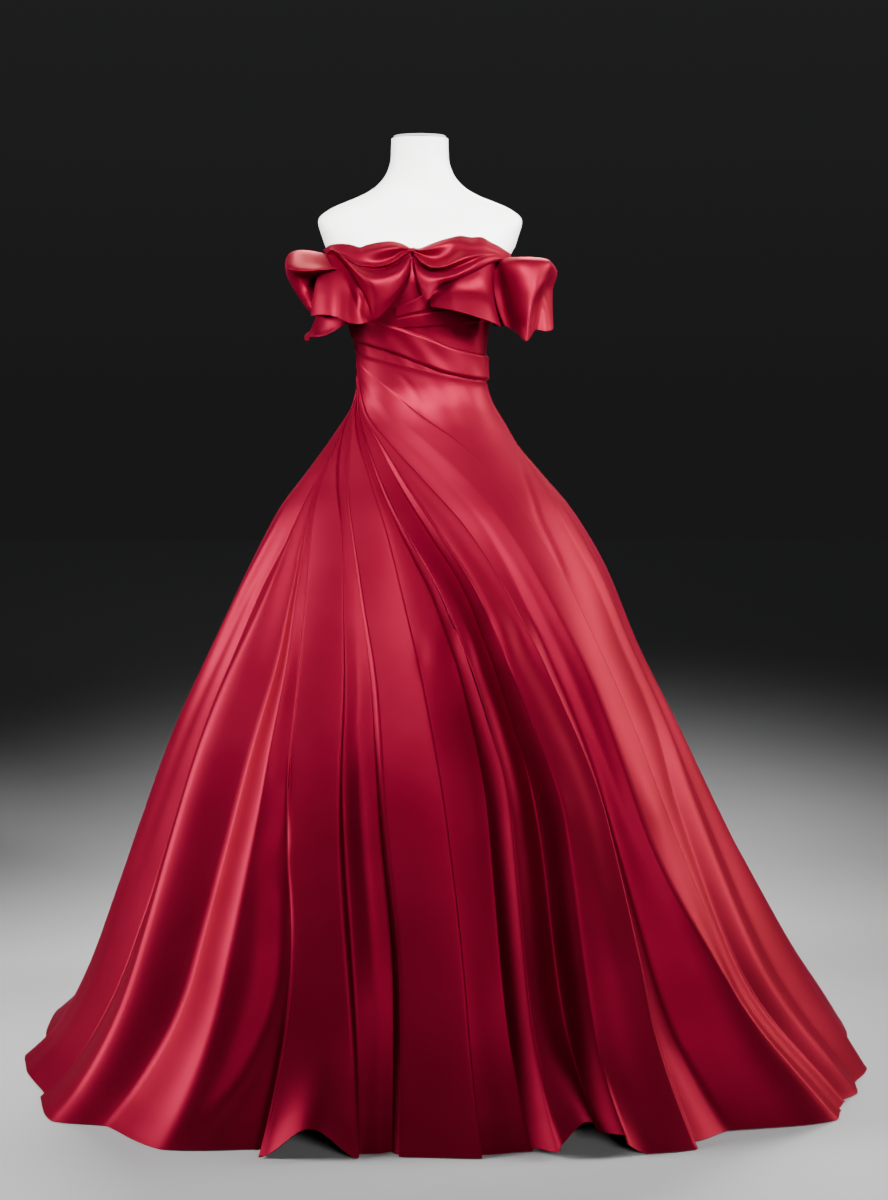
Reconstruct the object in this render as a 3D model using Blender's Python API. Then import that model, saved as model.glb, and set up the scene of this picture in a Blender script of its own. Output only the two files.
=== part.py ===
"""Evening dress with a draped, pleated satin skirt and an off-shoulder collar, on a limbless dress form.

Metres, +Z up, floor at z = 0. The front faces -Y. Angles are degrees around the body's axis:
0 is the front, 90 the side at +X, -90 the side at -X and 180 the back.
"""

import math

import bmesh
import bpy
import numpy as np

# Cloth and gaps
CLOTH = 0.0024
THIN_CLOTH = 0.0016
SEAM_GAP = 0.0003
LAYER_GAP = 0.0005
UNDERLAP_ANGLE = 1.0
WAIST_UNDERLAP_ANGLE = 4.0

# Dress form
FORM_BOTTOM = 0.880
NECK_TOP = 1.660
CAP_THICKNESS = 0.005
CAP_RADIUS = 0.047
CAP_BEVEL = 0.001
POLE_RADIUS = 0.014
BASE_RADIUS = 0.185
BASE_THICKNESS = 0.014
BASE_BEVEL = 0.003
FORM_COLUMNS = 40
DISC_SIDES = 32
FORM_ROW = 0.022
SHARP_ANGLE = 40.0

# Dress
WAIST = 1.222
COLLAR_LEVEL = 1.440
SHOULDER = 1.490
LEFT_SEAM = -87.4
RIGHT_SEAM = 88.4
BACK_SEAM = 180.0
# The back panels' borders stand this far from those seams, in degrees
LEFT_SEAM_SPACE = 0.6
RIGHT_SEAM_SPACE = 0.3
BACK_SEAM_SPACE = 0.1
WRAP_END_SPACE = 0.6
BODICE_STEP = 6.0
BODICE_ROWS = 10
FRONT_TOP_ROWS = 11
FRONT_ROWS = 24
FRONT_TOP_SHARE = 0.20
BACK_ROWS = 15
BACK_TOP_ROWS = 5
BACK_TOP_SHARE = 0.09
# The rows below the top ones lie wider apart towards the hem
ROW_GROWTH = 1.1
LINE_SAMPLES = 400
ZIP_WIDTH = 0.010
ZIP_BOTTOM = 1.060

# Pleat edges: half the width of a step, the steepest step and the stretch below the waist where they grow
STEP_HALF_WIDTH = 0.008
STEP_SLOPE = 1.5
PLEAT_GROWTH = 0.16
PLEATS_FROM = 1.200
PLEAT_DROP = 0.120
# Shares of the distance to the next fold: the most that half a step and a fold's lift may take
STEP_ROOM = 0.28
LIFT_ROOM = 0.35
# A seam that slants counts as at most this much wider
STEEPEST_SLANT = 4.0
# The row, counted from the hem, on which a panel's width sets its columns
WIDTH_ROW = -6
# A lower layer lies this far behind the upper one's outer side, at these heights from the hem up
UNDERLAP_HEIGHTS = (0.0, 0.2, 0.9, 1.0, 1.12, 1.195, 1.222)
UNDERLAP_DEPTHS = (0.0120, 0.0090, 0.0080, 0.0085, 0.0090, 0.0075, 0.0043)
COLUMN_SPACING = 0.060
BACK_COLUMN_SPACING = 0.095
COLUMN_TURN = 14.0

# Sections of the form and the dress: 2 is an oval, more is squarer
OVAL = 2.2
SHOULDER_SQUARE = 0.5
SHOULDER_SQUARE_FROM = 1.42
SHOULDER_SQUARE_OVER = 0.08
NECK_OVAL_FROM = 1.54
NECK_OVAL_OVER = 0.06
HEM_SQUARE = 0.45
HEM_SQUARE_BELOW = 1.15

# Dress form, half widths to each side and depths to the front and the back
# height, left, right, front, back
FORM_SECTIONS = (
    (0.880, 0.146, 0.148, 0.098, 0.104),
    (0.940, 0.158, 0.160, 0.106, 0.120),
    (1.020, 0.160, 0.162, 0.104, 0.124),
    (1.100, 0.136, 0.140, 0.094, 0.106),
    (1.160, 0.110, 0.118, 0.087, 0.090),
    (1.190, 0.107, 0.1145, 0.085, 0.086),
    (1.220, 0.1075, 0.1135, 0.086, 0.085),
    (1.260, 0.1085, 0.113, 0.088, 0.084),
    (1.300, 0.113, 0.116, 0.095, 0.085),
    (1.350, 0.124, 0.126, 0.113, 0.090),
    (1.400, 0.136, 0.138, 0.121, 0.094),
    (1.440, 0.154, 0.155, 0.110, 0.098),
    (1.453, 0.162, 0.163, 0.105, 0.099),
    (1.465, 0.169, 0.170, 0.099, 0.099),
    (1.489, 0.177, 0.178, 0.089, 0.097),
    (1.504, 0.182, 0.183, 0.080, 0.092),
    (1.516, 0.184, 0.185, 0.073, 0.087),
    (1.526, 0.175, 0.176, 0.067, 0.083),
    (1.540, 0.152, 0.153, 0.061, 0.078),
    (1.554, 0.115, 0.115, 0.056, 0.072),
    (1.572, 0.082, 0.082, 0.052, 0.064),
    (1.598, 0.060, 0.060, 0.050, 0.056),
    (1.624, 0.052, 0.052, 0.048, 0.051),
    (1.660, 0.051, 0.051, 0.047, 0.050),
)

# Outer side of the cloth from the hem to the waist; above it the cloth follows the form
# height, left, right, front, back
SKIRT_SECTIONS = (
    (0.000, 0.712, 0.800, 0.645, 0.800),
    (0.050, 0.660, 0.770, 0.612, 0.752),
    (0.150, 0.602, 0.705, 0.560, 0.690),
    (0.300, 0.545, 0.620, 0.510, 0.620),
    (0.450, 0.492, 0.540, 0.460, 0.550),
    (0.600, 0.437, 0.466, 0.410, 0.478),
    (0.750, 0.372, 0.392, 0.345, 0.395),
    (0.900, 0.306, 0.331, 0.275, 0.308),
    (1.000, 0.254, 0.271, 0.220, 0.240),
    (1.060, 0.207, 0.220, 0.178, 0.190),
    (1.120, 0.160, 0.171, 0.135, 0.142),
    (1.160, 0.134, 0.146, 0.110, 0.114),
    (1.190, 0.120, 0.129, 0.098, 0.099),
)

# Standing clear of the form: wide at the waist, close at the bust, where the dress rests
# height, clearance
CLEARANCE = ((1.220, 0.0046), (1.300, 0.0036), (1.380, 0.0009), (1.460, 0.0009))

# Upper edge of the front wrap, from the gathers at the left side to the right side seam
# angle, height
WRAP_TOP = ((-87.4, 1.290), (-60.0, 1.274), (-31.0, 1.260), (0.0, 1.250), (40.0, 1.240), (75.0, 1.231))

# Folds of the front, which fan out from the left side of the waist
# The angles are at these heights, and the lifts at the next ones
FOLD_HEIGHTS = (1.18, 1.12, 1.06, 0.97, 0.86, 0.70, 0.50, 0.25, 0.00)
LIFT_HEIGHTS = (1.00, 0.50, 0.00)
# name, top angle, top height, angles, lift in mm on the left of the line, lift on its right
FRONT_FOLDS = (
    ("left_gap", -92.5, 1.222, (-86.5, -70.0, -60.6, -58.8, -62.5, -64.8, -62.5, -61.5, -64.0),
     (-8, -22, -12), (-8, -22, -12)),
    ("left_ridge", -91.2, 1.222, (-85.5, -69.0, -59.4, -53.0, -51.0, -53.0, -52.4, -51.2, -53.0),
     (6, 14, 14), (6, 14, 14)),
    ("left_valley", -90.1, 1.222, (-84.5, -68.0, -58.2, -50.0, -44.5, -42.0, -42.2, -42.4, -46.5),
     (0, -14, -18), (0, -14, -18)),
    ("low_ridge", -88.8, 1.222, (-83.5, -67.0, -57.0, -47.4, -40.5, -35.2, -33.1, -32.7, -34.0),
     (1, 8, 14), (1, 8, 14)),
    ("left_box_edge", -87.8, 1.222, (-82.5, -66.0, -55.6, -44.9, -37.2, -31.7, -27.2, -22.0, -21.5),
     (-4, -8, -28), (6, 10, 16)),
    ("left_box_end", -87.4, 1.226, (-81.5, -63.0, -46.8, -31.5, -24.6, -19.2, -16.2, -11.7, -8.2),
     (8, 12, 16), (-6, -10, -14)),
    ("inset_ridge", -87.4, 1.231, (-77.5, -57.5, -43.3, -29.6, -21.8, -15.6, -12.0, -7.8, -5.6),
     (-2, -3, -8), (-2, -3, -8)),
    ("centre_box_edge", -87.4, 1.236, (-73.5, -52.5, -39.8, -27.4, -18.8, -11.2, -7.3, -3.5, -2.8),
     (-6, -14, -22), (7, 11, 10)),
    ("centre_box_end", -87.4, 1.241, (-69.0, -45.0, -27.4, -13.4, -5.3, 1.6, 5.8, 8.0, 8.8),
     (7, 9, 8), (-3, -5, -8)),
    ("first_pleat", -87.4, 1.246, (-65.0, -40.0, -23.0, -6.7, 6.5, 14.3, 17.5, 17.1, 18.0),
     (-8, -18, -20), (7, 10, 12)),
    ("second_pleat", -87.4, 1.252, (-60.5, -30.0, -11.3, 6.1, 18.2, 24.3, 28.0, 26.7, 26.5),
     (-5, -9, -14), (8, 12, 14)),
    ("third_pleat", -87.4, 1.258, (-56.5, -23.0, 0.0, 19.0, 28.7, 35.6, 39.2, 38.2, 37.5),
     (9, 14, 16), (-9, -15, -22)),
    ("wide_valley", -87.4, 1.265, (-47.0, -10.0, 12.0, 27.0, 34.0, 40.0, 41.8, 45.0, 50.0),
     (-1, -13, -42), (-1, -13, -42)),
    ("bright_ridge", -87.4, 1.272, (-34.0, 6.0, 25.0, 36.0, 41.5, 46.0, 45.5, 50.2, 57.0),
     (1, 9, 22), (1, 9, 22)),
    ("wrap_edge", -87.4, 1.280, (-9.0, 28.0, 42.0, 47.2, 50.8, 53.9, 53.2, 53.4, 60.5),
     (4, 6, 8), (-1, -3, 0)),
)
# The wrap's last edge: its upper edge, and then these angles
WRAP_END_ANGLES = (86.5, 78.5, 69.5, 64.0, 66.5, 68.0, 60.5, 57.0, 64.0)
WRAP_END_LIFT = (3, -6, -6)

# Folds of the sides and the back, from the wrap's end round to the left gap, in the same columns
SIDE_FOLDS = (
    ("right_ridge", 93.0, 1.222, (91.0, 84.5, 77.0, 72.0, 72.5, 74.0, 66.0, 61.5, 68.0),
     (0, 2, 2), (0, 2, 2)),
    ("right_valley", 98.0, 1.222, (96.0, 91.0, 85.0, 81.0, 80.0, 80.0, 73.0, 67.5, 72.5),
     (-4, -12, -12), (-4, -12, -12)),
    ("right_side_ridge", 103.0, 1.222, (101.0, 98.0, 94.0, 91.0, 88.5, 86.0, 80.0, 77.0, 79.0),
     (2, 8, 8), (2, 8, 8)),
    ("right_side_valley", 109.0, 1.222, (108.0, 105.0, 102.0, 99.0, 96.0, 93.0, 90.0, 88.0, 87.0),
     (-4, -10, -12), (-4, -10, -12)),
    ("right_seam", 116.0, 1.222, (115.0, 113.0, 110.0, 107.0, 105.0, 102.0, 99.0, 97.0, 96.0),
     (2, 6, 8), (2, 6, 8)),
    ("back_pleat_1", 126.0, 1.222, (125.0, 123.0, 121.0, 119.0, 117.0, 114.0, 111.0, 109.0, 108.0),
     (7, 12, 16), (-6, -12, -20)),
    ("back_ridge_1", 138.0, 1.222, (137.0, 136.0, 134.0, 132.0, 130.0, 127.0, 125.0, 123.0, 121.0),
     (2, 12, 22), (2, 12, 22)),
    ("back_pleat_2", 149.0, 1.222, (149.0, 148.0, 147.0, 145.0, 143.0, 141.0, 139.0, 137.0, 136.0),
     (7, 12, 14), (-7, -14, -24)),
    ("back_ridge_2", 160.0, 1.222, (160.0, 160.0, 159.0, 158.0, 157.0, 155.0, 154.0, 152.0, 151.0),
     (2, 12, 20), (2, 12, 20)),
    ("back_valley_1", 170.0, 1.222, (170.0, 170.0, 170.0, 169.0, 169.0, 168.0, 167.0, 166.0, 166.0),
     (-2, -10, -22), (-2, -10, -22)),
    ("back_seam", 180.0, 1.222, (180.0, 180.0, 180.0, 180.0, 180.0, 180.0, 180.0, 180.0, 180.0),
     (1, 8, 16), (1, 8, 16)),
    ("back_valley_2", 190.0, 1.222, (190.0, 190.0, 190.5, 191.0, 191.0, 192.0, 193.0, 194.0, 195.0),
     (-2, -10, -18), (-2, -10, -18)),
    ("back_ridge_3", 200.0, 1.222, (200.0, 200.5, 201.0, 202.0, 203.0, 205.0, 207.0, 208.0, 209.0),
     (2, 10, 20), (2, 10, 20)),
    ("back_pleat_3", 211.0, 1.222, (211.0, 212.0, 213.0, 215.0, 217.0, 219.0, 221.0, 223.0, 224.0),
     (-6, -12, -22), (7, 12, 14)),
    ("back_ridge_4", 222.0, 1.222, (222.5, 224.0, 226.0, 228.0, 230.0, 232.0, 234.0, 236.0, 238.0),
     (2, 10, 18), (2, 10, 18)),
    ("back_pleat_4", 233.0, 1.222, (234.0, 236.0, 238.0, 241.0, 243.0, 245.0, 247.0, 249.0, 250.0),
     (-6, -12, -18), (7, 12, 14)),
    ("left_seam", 243.0, 1.222, (245.0, 248.0, 251.0, 254.0, 255.0, 256.5, 258.0, 260.0, 261.0),
     (0, 0, 2), (0, 0, 2)),
    ("left_side_valley", 254.0, 1.222, (258.0, 264.0, 268.0, 270.0, 268.0, 266.0, 266.0, 267.0, 268.5),
     (-3, -8, -10), (-3, -8, -10)),
    ("left_lip", 262.0, 1.222, (269.0, 280.0, 287.0, 292.0, 288.0, 282.0, 277.0, 276.0, 276.0),
     (6, 10, 10), (6, 10, 10)),
)

# The hem lifts off the floor over two pleats
# angle, half the width in degrees, lift
HEM_ARCHES = ((-14.5, 7.0, 0.050), (23.5, 7.5, 0.050))
HEM_ARCH_HEIGHT = 0.24

# Upper edge of the bodice, under the collar
# angle, height
BODICE_TOP = ((-180.0, 1.436), (-90.0, 1.442), (-45.0, 1.450), (-9.0, 1.444), (45.0, 1.452), (90.0, 1.444),
              (180.0, 1.436))

# Bands draped across the front of the bodice
# name, layers below, then the start, middle and end: angle, lower edge, upper edge
BODICE_BANDS = (
    ("band_cross_low", 0, ((-20.0, 1.318, 1.336), (20.0, 1.322, 1.352), (85.0, 1.336, 1.376))),
    ("band_cross_high", 0, ((-20.0, 1.338, 1.354), (20.0, 1.354, 1.392), (85.0, 1.378, 1.424))),
    ("band_upper", 1, ((-85.0, 1.302, 1.352), (0.0, 1.263, 1.318), (85.0, 1.243, 1.290))),
)

# Collar: how far each point stands out from the bodice's edge, and its height
# Top, crest, belly and edge run from the neckline to the free edge
# angle, top out, top height, crest out, crest height, belly out, belly height, edge out, edge height
BOW_LEFT = (
    (-9.6, 0.020, 1.4612, 0.020, 1.456, 0.018, 1.450, 0.014, 1.4418),
    (-11.6, 0.020, 1.4612, 0.020, 1.456, 0.018, 1.450, 0.014, 1.4418),
    (-15.0, -0.0015, 1.464, 0.020, 1.457, 0.029, 1.440, 0.026, 1.402),
    (-20.0, -0.0015, 1.467, 0.024, 1.457, 0.040, 1.425, 0.040, 1.362),
    (-28.0, -0.0015, 1.470, 0.026, 1.458, 0.050, 1.410, 0.056, 1.336),
    (-37.0, -0.0015, 1.469, 0.027, 1.456, 0.054, 1.402, 0.064, 1.331),
    (-47.0, -0.0015, 1.462, 0.027, 1.450, 0.055, 1.396, 0.068, 1.334),
    (-57.0, -0.0015, 1.466, 0.026, 1.450, 0.052, 1.396, 0.066, 1.341),
    (-66.0, -0.0015, 1.467, 0.024, 1.448, 0.045, 1.398, 0.055, 1.342),
    (-74.0, -0.0015, 1.465, 0.021, 1.444, 0.037, 1.400, 0.044, 1.346),
)
BOW_RIGHT = (
    (-6.4, 0.020, 1.4612, 0.020, 1.456, 0.018, 1.450, 0.014, 1.4418),
    (-4.2, 0.020, 1.4612, 0.020, 1.456, 0.018, 1.450, 0.014, 1.4418),
    (-1.0, -0.0015, 1.461, 0.020, 1.456, 0.028, 1.440, 0.030, 1.408),
    (4.0, -0.0015, 1.464, 0.024, 1.457, 0.038, 1.430, 0.046, 1.380),
    (11.0, -0.0015, 1.468, 0.026, 1.460, 0.043, 1.432, 0.052, 1.392),
    (20.0, -0.0015, 1.475, 0.028, 1.464, 0.044, 1.437, 0.050, 1.402),
    (30.0, -0.0015, 1.482, 0.028, 1.470, 0.042, 1.446, 0.046, 1.415),
    (41.0, -0.0015, 1.481, 0.026, 1.472, 0.038, 1.452, 0.040, 1.428),
    (52.0, -0.0015, 1.477, 0.022, 1.470, 0.031, 1.456, 0.033, 1.441),
    (63.0, -0.0015, 1.468, 0.017, 1.463, 0.023, 1.456, 0.025, 1.448),
    (74.0, -0.0015, 1.459, 0.012, 1.456, 0.015, 1.452, 0.016, 1.447),
)
FLOUNCE_RIGHT_FRONT = (
    (5.0, 0.0021, 1.425, 0.012, 1.414, 0.022, 1.392, 0.034, 1.362),
    (13.0, 0.0021, 1.425, 0.014, 1.414, 0.028, 1.390, 0.046, 1.354),
    (22.0, 0.0021, 1.426, 0.015, 1.414, 0.032, 1.388, 0.054, 1.349),
    (31.0, 0.0021, 1.428, 0.016, 1.416, 0.036, 1.386, 0.060, 1.342),
    (38.0, 0.0021, 1.430, 0.018, 1.416, 0.040, 1.384, 0.064, 1.331),
    (44.0, 0.0021, 1.432, 0.018, 1.416, 0.040, 1.382, 0.060, 1.322),
    (49.0, 0.0021, 1.433, 0.015, 1.416, 0.030, 1.382, 0.040, 1.328),
    (54.0, 0.0021, 1.434, 0.012, 1.418, 0.018, 1.386, 0.020, 1.340),
)
FLOUNCE_RIGHT_SIDE = (
    (55.5, 0.0007, 1.4395, 0.012, 1.424, 0.018, 1.390, 0.020, 1.345),
    (60.0, 0.0007, 1.4395, 0.024, 1.432, 0.034, 1.394, 0.036, 1.340),
    (65.0, 0.0007, 1.4395, 0.036, 1.437, 0.052, 1.392, 0.052, 1.306),
    (71.0, 0.0007, 1.4395, 0.044, 1.440, 0.058, 1.394, 0.054, 1.297),
    (77.0, 0.0007, 1.4395, 0.054, 1.441, 0.062, 1.396, 0.060, 1.312),
    (83.0, 0.0007, 1.4395, 0.062, 1.441, 0.066, 1.398, 0.078, 1.316),
    (90.0, 0.0007, 1.4395, 0.066, 1.440, 0.076, 1.404, 0.066, 1.330),
    (98.0, 0.0007, 1.4395, 0.062, 1.436, 0.080, 1.404, 0.064, 1.344),
    (107.0, 0.0007, 1.4395, 0.050, 1.434, 0.062, 1.400, 0.056, 1.336),
)
FLOUNCE_LEFT_SIDE = (
    (-112.0, 0.0007, 1.4395, 0.046, 1.438, 0.060, 1.402, 0.060, 1.334),
    (-104.0, 0.0007, 1.4395, 0.058, 1.446, 0.072, 1.410, 0.062, 1.340),
    (-96.0, 0.0007, 1.4395, 0.066, 1.456, 0.086, 1.430, 0.062, 1.352),
    (-88.0, 0.0007, 1.4395, 0.066, 1.463, 0.087, 1.438, 0.052, 1.364),
    (-80.0, 0.0007, 1.4395, 0.056, 1.458, 0.076, 1.436, 0.034, 1.366),
    (-75.5, 0.0007, 1.4395, 0.040, 1.448, 0.056, 1.432, 0.022, 1.366),
)
FLOUNCE_LEFT_LOW = (
    (-106.0, -0.0028, 1.431, 0.010, 1.395, 0.028, 1.340, 0.040, 1.322),
    (-96.0, -0.0028, 1.431, 0.010, 1.395, 0.032, 1.334, 0.048, 1.310),
    (-86.0, -0.0027, 1.431, 0.010, 1.395, 0.034, 1.330, 0.050, 1.302),
    (-76.0, -0.0025, 1.431, 0.010, 1.395, 0.028, 1.328, 0.040, 1.304),
    (-66.0, -0.0014, 1.431, 0.010, 1.395, 0.018, 1.330, 0.024, 1.312),
)
# The back of the collar: waves of one cloth round the back
BACK_FLOUNCE_FROM = 108.5
BACK_FLOUNCE_TO = 246.5
BACK_FLOUNCE_WAVES = 6
BACK_FLOUNCE_COLUMNS = 43
# point, height, mean distance out, wave height out
BACK_FLOUNCE_PROFILE = (
    ("top", 1.4395, 0.0007, 0.000),
    ("crest", 1.436, 0.026, 0.004),
    ("belly", 1.400, 0.046, 0.010),
    ("edge", 1.335, 0.050, 0.020),
)
BACK_FLOUNCE_BETWEEN = 1
COLLAR_COLUMNS_BETWEEN = 2
COLLAR_ROWS = 7
BUST_LEVEL = 1.39
KNOT_ANGLE = -8.0
KNOT_HEIGHT = 1.4515
KNOT_OUT = 0.0125
KNOT_SIZE = (0.0066, 0.0088, 0.0128)
KNOT_WALL = 0.0016
KNOT_SIDES = 12
# along the ring, share of its size
KNOT_RINGS = ((-1.0, 1.0), (-0.4, 0.97), (0.4, 0.97), (1.0, 1.0))

SATIN_RED = (0.42, 0.012, 0.030, 1.0)
FORM_WHITE = (0.80, 0.79, 0.77, 1.0)
CAP_GREY = (0.34, 0.34, 0.36, 1.0)
BASE_WHITE = (0.70, 0.70, 0.70, 1.0)


def clear_scene():
    for thing in list(bpy.data.objects):
        bpy.data.objects.remove(thing, do_unlink=True)


def material(name, colour, roughness):
    made = bpy.data.materials.new(name)
    made.use_nodes = True
    shader = made.node_tree.nodes["Principled BSDF"]
    shader.inputs["Base Color"].default_value = colour
    shader.inputs["Roughness"].default_value = roughness
    return made


def smooth_curve(at, places, values):
    """A smooth curve through the values, without overshoot between them."""
    places = np.asarray(places, float)
    values = np.asarray(values, float)
    steps = np.diff(places)
    slopes = np.diff(values) / steps
    tangents = np.empty_like(values)
    tangents[0] = slopes[0]
    tangents[-1] = slopes[-1]
    for i in range(1, len(values) - 1):
        before = 2 * steps[i] + steps[i - 1]
        after = steps[i] + 2 * steps[i - 1]
        if slopes[i - 1] * slopes[i] > 0:
            tangents[i] = (before + after) / (before / slopes[i - 1] + after / slopes[i])
        else:
            tangents[i] = 0.0
    at = np.clip(at, places[0], places[-1])
    k = np.clip(np.searchsorted(places, at, side="right") - 1, 0, len(steps) - 1)
    t = (at - places[k]) / steps[k]
    start = (1 + 2 * t) * (1 - t) ** 2 * values[k] + t * (1 - t) ** 2 * steps[k] * tangents[k]
    end = t * t * (3 - 2 * t) * values[k + 1] + t * t * (t - 1) * steps[k] * tangents[k + 1]
    return start + end


def section_radius(table, height, angle, roundness):
    """Distance from the axis to the outline at this height, in the direction of the angle."""
    rows = np.asarray(table, float)
    left, right, front, back = (smooth_curve(height, rows[:, 0], rows[:, c]) for c in (1, 2, 3, 4))
    s = np.sin(np.radians(angle))
    c = np.cos(np.radians(angle))
    across = np.where(s > 0, right, left)
    along = np.where(c > 0, front, back)
    total = (np.abs(s) / across) ** roundness + (np.abs(c) / along) ** roundness
    return total ** (-1.0 / roundness)


def form_roundness(height):
    """The waist and the neck are ovals, the shoulders are squarer."""
    neck = np.clip((height - NECK_OVAL_FROM) / NECK_OVAL_OVER, 0, 1)
    return OVAL + shoulder_squareness(height) - SHOULDER_SQUARE * neck


def shoulder_squareness(height):
    return SHOULDER_SQUARE * np.clip((height - SHOULDER_SQUARE_FROM) / SHOULDER_SQUARE_OVER, 0, 1)


def form_radius(height, angle):
    return section_radius(FORM_SECTIONS, height, angle, form_roundness(height))


def dress_sections():
    """The skirt's own sections, and above the waist those of the form with the cloth over it."""
    upper = []
    form = np.asarray(FORM_SECTIONS, float)
    clear = np.asarray(CLEARANCE, float)
    for row in form:
        if SKIRT_SECTIONS[-1][0] < row[0] - FORM_ROW and row[0] <= SHOULDER:
            extra = CLOTH + float(smooth_curve(row[0], clear[:, 0], clear[:, 1]))
            upper.append((row[0],) + tuple(value + extra for value in row[1:]))
    return tuple(SKIRT_SECTIONS) + tuple(upper)


DRESS_SECTIONS = dress_sections()


def dress_roundness(height):
    hem = HEM_SQUARE * np.clip(1.0 - height / HEM_SQUARE_BELOW, 0, 1)
    return OVAL + hem + shoulder_squareness(height)


def dress_radius(height, angle):
    return section_radius(DRESS_SECTIONS, height, angle, dress_roundness(height))


def place(radius, angle, height):
    """Points from distances to the axis, angles and heights."""
    a = np.radians(angle)
    return np.stack(np.broadcast_arrays(radius * np.sin(a), -radius * np.cos(a), height), axis=-1)


def add_mesh(name, points, faces, look):
    mesh = bpy.data.meshes.new(name)
    shape = bmesh.new()
    corners = [shape.verts.new(point) for point in points]
    for face in faces:
        shape.faces.new([corners[i] for i in face])
    shape.normal_update()
    shape.to_mesh(mesh)
    shape.free()
    mesh.materials.append(look)
    made = bpy.data.objects.new(name, mesh)
    bpy.context.scene.collection.objects.link(made)
    return made


def cloth_wall(name, outer, inner, look):
    """A sheet of cloth as one closed wall. Rows run from the top down, columns towards growing angles."""
    rows, columns = outer.shape[:2]
    points = np.concatenate([outer.reshape(-1, 3), inner.reshape(-1, 3)]).tolist()
    far = rows * columns

    def corner(row, column, side):
        return side * far + row * columns + column

    faces = []
    for r in range(rows - 1):
        for c in range(columns - 1):
            a = corner(r, c, 0)
            b = corner(r + 1, c, 0)
            d = corner(r + 1, c + 1, 0)
            e = corner(r, c + 1, 0)
            faces.append((a, b, d))
            faces.append((a, d, e))
            faces.append((a + far, d + far, b + far))
            faces.append((a + far, e + far, d + far))
    border = [(0, c) for c in range(columns)]
    border += [(r, columns - 1) for r in range(1, rows)]
    border += [(rows - 1, c) for c in range(columns - 2, -1, -1)]
    border += [(r, 0) for r in range(rows - 2, 0, -1)]
    for (r0, c0), (r1, c1) in zip(border, border[1:] + border[:1]):
        faces.append((corner(r0, c0, 0), corner(r1, c1, 0), corner(r1, c1, 1)))
        faces.append((corner(r0, c0, 0), corner(r1, c1, 1), corner(r0, c0, 1)))
    return add_mesh(name, points, faces, look)


def radial_wall(name, radius, angle, height, thickness, look):
    outer = place(radius, angle, height)
    inner = place(radius - thickness, angle, height)
    return cloth_wall(name, outer, inner, look)


def closed_loft(name, rings, look):
    """A solid through closed rings, listed from the bottom up."""
    count = len(rings[0])
    points = [tuple(point) for ring in rings for point in ring]
    faces = []
    for r in range(len(rings) - 1):
        for c in range(count):
            a = r * count + c
            b = r * count + (c + 1) % count
            faces.append((a, b, b + count, a + count))
    faces.append(tuple(range(count - 1, -1, -1)))
    faces.append(tuple(range((len(rings) - 1) * count, len(rings) * count)))
    made = add_mesh(name, points, faces, look)
    made.data.shade_smooth()
    made.data.set_sharp_from_angle(angle=math.radians(SHARP_ANGLE))
    return made


# Lines of folds

def fold_line(top_angle, top_height, angles):
    """A fold's line down the cloth from its top through its table."""
    return even_line([(top_angle, top_height)] + list(zip(angles, FOLD_HEIGHTS)))


def even_line(knots):
    """Angles and heights at even steps along a line on the cloth, and the line's length."""
    knots = np.asarray(knots, float)
    ends = place(dress_radius(knots[:, 1], knots[:, 0]), knots[:, 0], knots[:, 1])
    along = np.concatenate([[0], np.cumsum(np.linalg.norm(np.diff(ends, axis=0), axis=1))])
    fine = np.linspace(0, along[-1], LINE_SAMPLES)
    angle = smooth_curve(fine, along, knots[:, 0])
    height = smooth_curve(fine, along, knots[:, 1])
    path = place(dress_radius(height, angle), angle, height)
    length = np.concatenate([[0], np.cumsum(np.linalg.norm(np.diff(path, axis=0), axis=1))])
    even = np.linspace(0, length[-1], LINE_SAMPLES)
    return np.interp(even, length, angle), np.interp(even, length, height), length[-1]


def row_shares(rows, top_rows, top_share):
    """Shares of a line's length at which the rows lie: close along the drape, wider down the skirt."""
    top = np.linspace(0, top_share, top_rows + 1)
    rest = np.linspace(0, 1, rows - top_rows + 1)[1:]
    return np.concatenate([top, top_share + (1 - top_share) * rest ** ROW_GROWTH])


def lift_along(lift, height, length):
    """The lift of one side of a fold, from none at the waist to its full height."""
    heights = LIFT_HEIGHTS[::-1]
    value = np.interp(height, heights, lift[::-1]) / 1000.0
    return value * eased(length / PLEAT_GROWTH) * eased((PLEATS_FROM - height) / PLEAT_DROP)


def eased(share):
    """From 0 to 1 with a soft start and end."""
    share = np.clip(share, 0, 1)
    return share * share * (3 - 2 * share)


class Fold:
    """One fold's points on every row, with the lift of the cloth on each side of it."""

    def __init__(self, name, line, left, right, shares):
        angle, height, length = line
        even = np.linspace(0, 1, len(angle))
        self.name = name
        self.angle = np.interp(shares, even, angle)
        self.height = np.interp(shares, even, height)
        self.left = lift_along(left, self.height, shares * length)
        self.right = lift_along(right, self.height, shares * length)
        self.step = tuple(left) != tuple(right)

    def points(self):
        return place(dress_radius(self.height, self.angle), self.angle, self.height)


def skirt_folds(rows, shares):
    return [Fold(name, fold_line(top, high, angles), left, right, shares)
            for name, top, high, angles, left, right in rows]


def soften_steps(folds):
    """Narrow and flatten the steps where the folds run together."""
    for i, fold in enumerate(folds):
        room = np.full(len(fold.angle), 1.0)
        for other in folds[max(i - 1, 0):i + 2]:
            if other is not fold:
                room = np.minimum(room, np.linalg.norm(other.points() - fold.points(), axis=1))
        fold.half = np.minimum(STEP_HALF_WIDTH, STEP_ROOM * room)
        height = np.abs(fold.right - fold.left) + 1e-9
        ratio = np.minimum(1.0, STEP_SLOPE * 2 * fold.half / height)
        middle = (fold.right + fold.left) / 2
        middle = np.sign(middle) * np.minimum(np.abs(middle), LIFT_ROOM * room)
        fold.left, fold.right = (middle + (side - (fold.left + fold.right) / 2) * ratio
                                 for side in (fold.left, fold.right))


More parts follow.
